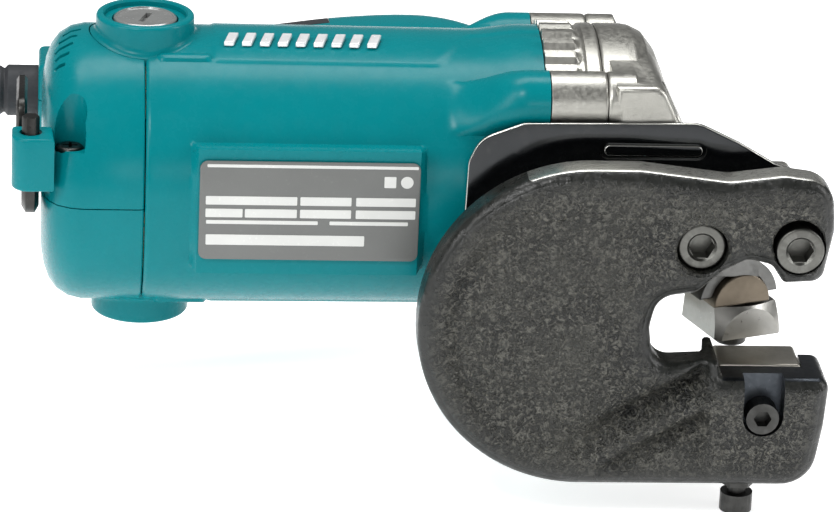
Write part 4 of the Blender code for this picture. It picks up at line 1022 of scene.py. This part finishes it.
def handle_sweep(name, offset):
    """The handle swept along a smooth spline through its stations, grown or shrunk by an offset."""
    rows = [np.array(row) for row in HANDLE_STATIONS]
    fine = []
    for i in range(len(rows) - 1):
        a, b, c, d = rows[max(i - 1, 0)], rows[i], rows[i + 1], rows[min(i + 2, len(rows) - 1)]
        for t in np.arange(6) / 6:
            square = (2 * a - 5 * b + 4 * c - d) * t ** 2
            cube = (3 * b - a - 3 * c + d) * t ** 3
            fine.append(0.5 * (2 * b + (c - a) * t + square + cube))
    fine.append(rows[-1])
    rings = []
    angles = (np.arange(56) + 0.5) / 56 * tau
    for i, row in enumerate(fine):
        ahead, behind = fine[min(i + 1, len(fine) - 1)], fine[max(i - 1, 0)]
        along = (ahead - behind)[:2] / np.linalg.norm((ahead - behind)[:2])
        u, w = [np.copysign(np.abs(wave) ** HANDLE_SQUARENESS, wave) * (size + offset)
                for wave, size in ((np.cos(angles), row[2]), (np.sin(angles), row[3]))]
        rings.append(np.stack([row[0] - along[1] * u, row[1] + along[0] * u, w], 1))
    return skin(name, rings)


def grip_layer(grow, depth, extra):
    """The layer over the grip from depth below the handle's surface to grow above it."""
    zone = [
        (-extra, 60.5 - extra), (20, 61.5 - extra), (52 + extra, 71.5 - extra), (52 + extra, 95),
        (-24 - extra, 95), (-24 - extra, 66 - extra), (-10 - extra, 66 - extra),
    ]
    layer = combine(handle_sweep("layer", grow), prism("zone", zone, "Z", -30, 30), "INTERSECT")
    return cut(layer, handle_sweep("core", -depth))


def half(name, obj, side):
    """A copy of the object's upper or lower half."""
    low, high = (GAP / 2, 60) if side > 0 else (-60, -GAP / 2)
    return combine(linked(name, obj.data.copy()), block("half", (-60, -60, low), (140, 110, high)),
                   "INTERSECT")


def handle_body():
    """The rear cover and handle in one, with room for everything that sits in them."""
    body = turned("handle", COVER_PROFILE, segments=192)
    join(body, handle_sweep("sweep", 0))
    guard = rectangle((COVER_BACK - 1, GUARD_Y - 9), (-12, GUARD_Y + 9), 2)
    join(body, prism("guard_seat", rounded(guard), "Z", -10, 10, 1.2))
    rooms = (BARREL_R + GAP, -GAP / 2, 110), (BARREL_R + 1.8, 84, 125)
    for radius, low, high in (*rooms, (GEAR_CASE_R + 0.6, HOUSING_END - 0.6, 125)):
        hole(body, radius, "X", low, high, segments=192)
    for side in (-1, 1):
        hole(body, BRUSH_BOSS_R + 1.8, "Z", side * 20, side * 50)
    hole(body, 5.5, "Z", 14, 45, (-20.5, -31), 64)
    for k in range(5):
        vent = block("vent", (k - 25.2, 31.5, -0.65), (k - 20.4, 39, 0.65), 0.3)
        cut(body, turn(vent, radians(114 - 6.2 * k), "X"))
    cut(body, grip_layer(2, GRIP_DEPTH + GAP, GAP))
    hole(body, 7.3, "X", -40, -13, (GUARD_Y, 0), 64)
    cut(body, block("trigger_slot", (26, 40, -5.2), (67, 67, 5.2)))
    hole(body, TRIGGER_PIN_R, "Z", -12.2, 12.2, TRIGGER_PIVOT, 32)
    hole(body, LOCK_R + 0.4, "Z", -30, -5, LOCK_AT, 64)
    hole(body, LOCK_FLANGE_R + 0.5, "Z", -13, -5, LOCK_AT, 64)
    switch_room = block("switch_room", (32, 63, -8.6), (58, 74, 8.6))
    return cut(body, turn(switch_room, radians(15), "Z", (45, 66, 0)))


def build_handle():
    body = handle_body()
    upper, lower = half("handle_shell_upper", body, 1), half("handle_shell_lower", body, -1)
    bpy.data.objects.remove(body)
    holder = prism("holder", rounded(HOLDER, 10), "Z", 4.3, 18.5, 0.8)
    join(upper, hole(holder, 32, "X", -60, -10))
    for x, y, across in KEYS:
        for shell, low, high in ((upper, -6, 30), (lower, -30, 6)):
            cut(shell, prism("key_hole", circle(across * 0.72, (x, y), 24), "Z", low, high))
    for x, y, depth in SCREW_SEATS:
        hole(upper, SCREW_HEAD_R + 0.6, "Z", depth, 40, (x, y), 48)
        hole(upper, SCREW_R + GAP, "Z", -30, 40, (x, y), 32)
        hole(lower, SCREW_R + GAP, "Z", -10, 40, (x, y), 32)
    placed(upper, "tool", "teal_plastic", "handle_upper_half")
    placed(lower, "tool", "teal_plastic", "handle_lower_half")

    layer = grip_layer(0, GRIP_DEPTH, 0)
    for side, name in ((1, "upper"), (-1, "lower")):
        placed(half(f"soft_grip_{name}", layer, side), "tool", "dark_elastomer", f"grip_pad_{name}")
    bpy.data.objects.remove(layer)


def build_handle_screws():
    """Pan-head screws with a cross recess, sunk in the upper half."""
    for k, (x, y, depth) in enumerate(SCREW_SEATS):
        base = depth + GAP
        top = base + 2.4
        profile = [(base, 0, 0), (base, SCREW_HEAD_R, 0.2), (top, SCREW_HEAD_R, 1.4), (top, 0, 0)]
        head = turned(f"case_screw_{k + 1}", rounded(profile, 5), "Z", (x, y), 48)
        for a, b in ((1.9, 0.4), (0.4, 1.9)):
            cut(head, block("recess", (x - a, y - b, base + 1.1), (x + a, y + b, base + 4)))
        join(head, rod("shank", SCREW_R, "Z", -8, base + 0.8, (x, y), 0.3, 32))
        placed(head, "tool", "black_oxide_steel", f"handle_screw_{k + 1}")


def build_guard():
    """The cord guard: a stepped rubber sleeve that narrows away from the handle."""
    bore = 3.6
    x, radius = -28, 6.9
    profile = [(-8.4, bore, 0), (-8.4, 7.8, 0.3), (-11, 7.8, 0.3), (-11, radius, 0), (x, radius, 0.4)]
    for _ in range(4):
        profile += [(x - 7.5, radius, 0.5), (x - 8.4, radius - 1, 0.3), (x - 9.4, radius - 0.3, 0.5)]
        x -= 9.4
        radius -= 0.3
    profile += [(x - 4, radius - 0.5, 0.8), (x - 5, radius - 1.5, 0.4), (x - 5, bore, 0)]
    sleeve = turned("guard_sleeve", rounded(profile, 3), "X", (GUARD_Y, 0))
    placed(sleeve, "tool", "dark_elastomer", "cord_guard")


# ---- trim ----
LABEL_FRONT = -37.3


def build_label():
    """The foil plate with plain light cells and bars where its printing would be."""
    sheet = rounded(rectangle((13.8, -12.6), (69.8, 14), 2))
    placed(prism("foil_plate", sheet, "Y", LABEL_FRONT, -36.7, 0.15), "tool", "grey_label", "rating_plate")
    marks = [(15.6, 12.4, 69.2, 13.2), (15.6, -2.9, 44, -1.9), (15.6, -8.6, 56, -5.8)]
    marks += [(47, -2.9, 67, -1.9)]
    right = [(39.4, 52.4), (53.6, 68.8)]
    for top, cells in ((4.6, [(15.4, 38.6)] + right), (1.2, [(15.4, 24.8), (25.4, 38.6)] + right)):
        marks += [(x1, top - 2.3, x2, top) for x1, x2 in cells]
    marks += [(60.6, 7.4, 63.6, 10.4)]
    outlines = [rounded(rectangle(mark[:2], mark[2:], 0.2), 2) for mark in marks]
    outlines.append(circle(1.6, (66.4, 8.9), 48))
    pieces = [prism("mark", outline, "Y", LABEL_FRONT - 0.05, LABEL_FRONT + 0.02) for outline in outlines]
    placed(merged("foil_marks", pieces), "tool", "grey_label", looks=("label_print",))


def build_badge():
    """Nine plain slanted bright bars on top of the barrel."""
    pieces = []
    faces = [(0, 1, 2, 3), (7, 6, 5, 4), (0, 4, 5, 1), (1, 5, 6, 2), (2, 6, 7, 3), (3, 7, 4, 0)]
    for k in range(9):
        x = 20 + 4.6 * k
        points = []
        for z in (36.1, 37.3):
            for dx, y in ((0, -9.5), (2.6, -9.5), (4, -4.5), (1.4, -4.5)):
                lift = sqrt(BARREL_R ** 2 - y * y) - BARREL_R
                points.append((x + dx, y, z + lift + 0.35))
        pieces.append(make("bar", points, faces))
    bars = merged("badge_bars", pieces)
    modifier = bars.modifiers.new("soften", "BEVEL")
    modifier.width = 0.25 * MM
    modifier.segments = 2
    placed(bars, "tool", "chrome", "badge")


def build_caps():
    levels = [(34.5, 0, 0), (34.5, 8.2, 0), (39.5, 8.2, 0.5), (40, 7.4, 0.2), (39.5, 7.1, 0.2)]
    levels += [(39.5, 0, 0)]
    for side, name in ((1, "upper"), (-1, "lower")):
        profile = [(side * along, radius, bend) for along, radius, bend in levels]
        cap = turned(f"cap_{name}", rounded(profile, 4), "Z")
        low, high = sorted((side * 38.2, side * 42))
        cut(cap, turn(block("slot", (-3.6, -0.8, low), (3.6, 0.8, high), 0.1), radians(72), "Z"))
        placed(cap, "tool", "black_plastic", f"brush_cap_{name}", looks=("cap_plastic",))


def build_key(name, node, key, top, bottom, reach, body):
    """An L-shaped hex key with softened edges and a smooth bend."""
    x, y, across = key
    bend = across * 1.3
    sign = copysign(1, top - bottom)
    path = [(y, top), (y, top - sign * 0.4), (y, bottom + sign * bend)]
    for k in range(1, 13):
        t = QUARTER * k / 12
        path.append((y + bend * (1 - cos(t)), bottom + sign * bend * (1 - sin(t))))
    path += [(y + reach - 0.4, bottom), (y + reach, bottom)]
    rings = []
    section = rounded([(u, v, across * 0.09) for u, v in hexagon(across, (0, 0))], 3)
    for i, (py, pz) in enumerate(path):
        ahead, behind = path[min(i + 1, len(path) - 1)], path[max(i - 1, 0)]
        dy, dz = ahead[0] - behind[0], ahead[1] - behind[1]
        size = 0.9 if i in (0, len(path) - 1) else 1
        tall = size / hypot(dy, dz)
        rings.append([(x + u * size, py - dz * v * tall, pz + dy * v * tall) for u, v in section])
    placed(skin(name, rings), body, "black_oxide_steel", node)


def build_controls():
    lever = prism("trigger_lever", rounded(TRIGGER_OUTLINE), "Z", -4.8, 4.8, 1.1)
    hole(lever, TRIGGER_PIN_R, "Z", -8, 8, TRIGGER_PIVOT, 48)
    placed(lever, "trigger_body", "black_plastic", "trigger")
    button = turned("lock_plunger", rounded(LOCK_PROFILE, 5), "Z", LOCK_AT, 64)
    placed(button, "lock_body", "black_plastic", "lock_button")


build_motor_shell()
build_gear_case()
build_plate()
build_yoke_screws()
build_blades()
build_handle()
build_handle_screws()
build_guard()
build_label()
build_badge()
build_caps()
build_key("long_hex_key", "hex_key_4mm", KEYS[0], 22.9, -2.8, 62, "key_4mm")
build_key("short_hex_key", "hex_key_2_5mm", KEYS[1], 2.4, 23.4, 20, "key_2_5mm")
build_controls()


# ---- stage, in metres ----
def add_floor():
    look = Look("floor", (0.9, 0.9, 0.9), 0.7)
    look.set("Emission Color", (1, 1, 1, 1))
    look.set("Emission Strength", 0.72)
    look.rough(look.noise(60, 2), 0.55, 0.65)
    mesh = bmesh.new()
    bmesh.ops.create_grid(mesh, x_segments=1, y_segments=1, size=3)
    floor = from_bmesh("floor", mesh)
    floor.location = (0, 0, cad_bounds[0].z - 0.0005)
    floor.data.materials.append(look.material)


def add_light(name, at, size, power):
    """A rectangular area light that faces the tool."""
    light = bpy.data.lights.new(name, "AREA")
    light.shape = "RECTANGLE"
    light.size, light.size_y = size
    light.energy = power
    obj = linked(name, light)
    obj.location = at
    obj.rotation_euler = (Vector((-0.06, 0.03, 0.03)) - Vector(at)).to_track_quat("-Z", "Y").to_euler()


def add_lights():
    add_light("top_softbox", (-0.1, 0.25, 0.9), (0.9, 0.3), 7)
    add_light("left_softbox", (-0.95, -0.5, 0.55), (0.3, 0.8), 4.5)
    add_light("key_left", (-0.5, -0.6, 0.85), (0.16, 0.16), 4)
    add_light("front_fill", (0.1, -1.2, 0.3), (0.5, 0.25), 1.5)
    add_light("right_softbox", (0.9, -0.2, 0.5), (0.2, 0.8), 5)
    world = bpy.data.worlds.new("studio")
    world.use_nodes = True
    background = world.node_tree.nodes["Background"]
    background.inputs["Color"].default_value = (1, 1, 1, 1)
    background.inputs["Strength"].default_value = 0.17
    bpy.context.scene.world = world
    bpy.context.scene.view_settings.view_transform = "Standard"


def add_camera():
    side, tilt, roll = (radians(angle) for angle in (-5, 21.37, 2.54))
    back = Vector((sin(side) * cos(tilt), -cos(side) * cos(tilt), sin(tilt)))
    right = (-back).cross(Vector((0, 0, 1))).normalized()
    up = right.cross(-back)
    across = right * cos(roll) + up * sin(roll)
    upward = up * cos(roll) - right * sin(roll)
    camera = linked("camera", bpy.data.cameras.new("camera"))
    camera.data.lens = 200.95
    camera.data.sensor_width = 36
    camera.data.clip_end = 20
    matrix = Matrix((across, upward, back)).transposed().to_4x4()
    matrix.translation = Vector((-0.18533, -1.10111, 0.45873))
    camera.matrix_world = matrix
    bpy.context.scene.camera = camera


add_floor()
add_lights()
add_camera()
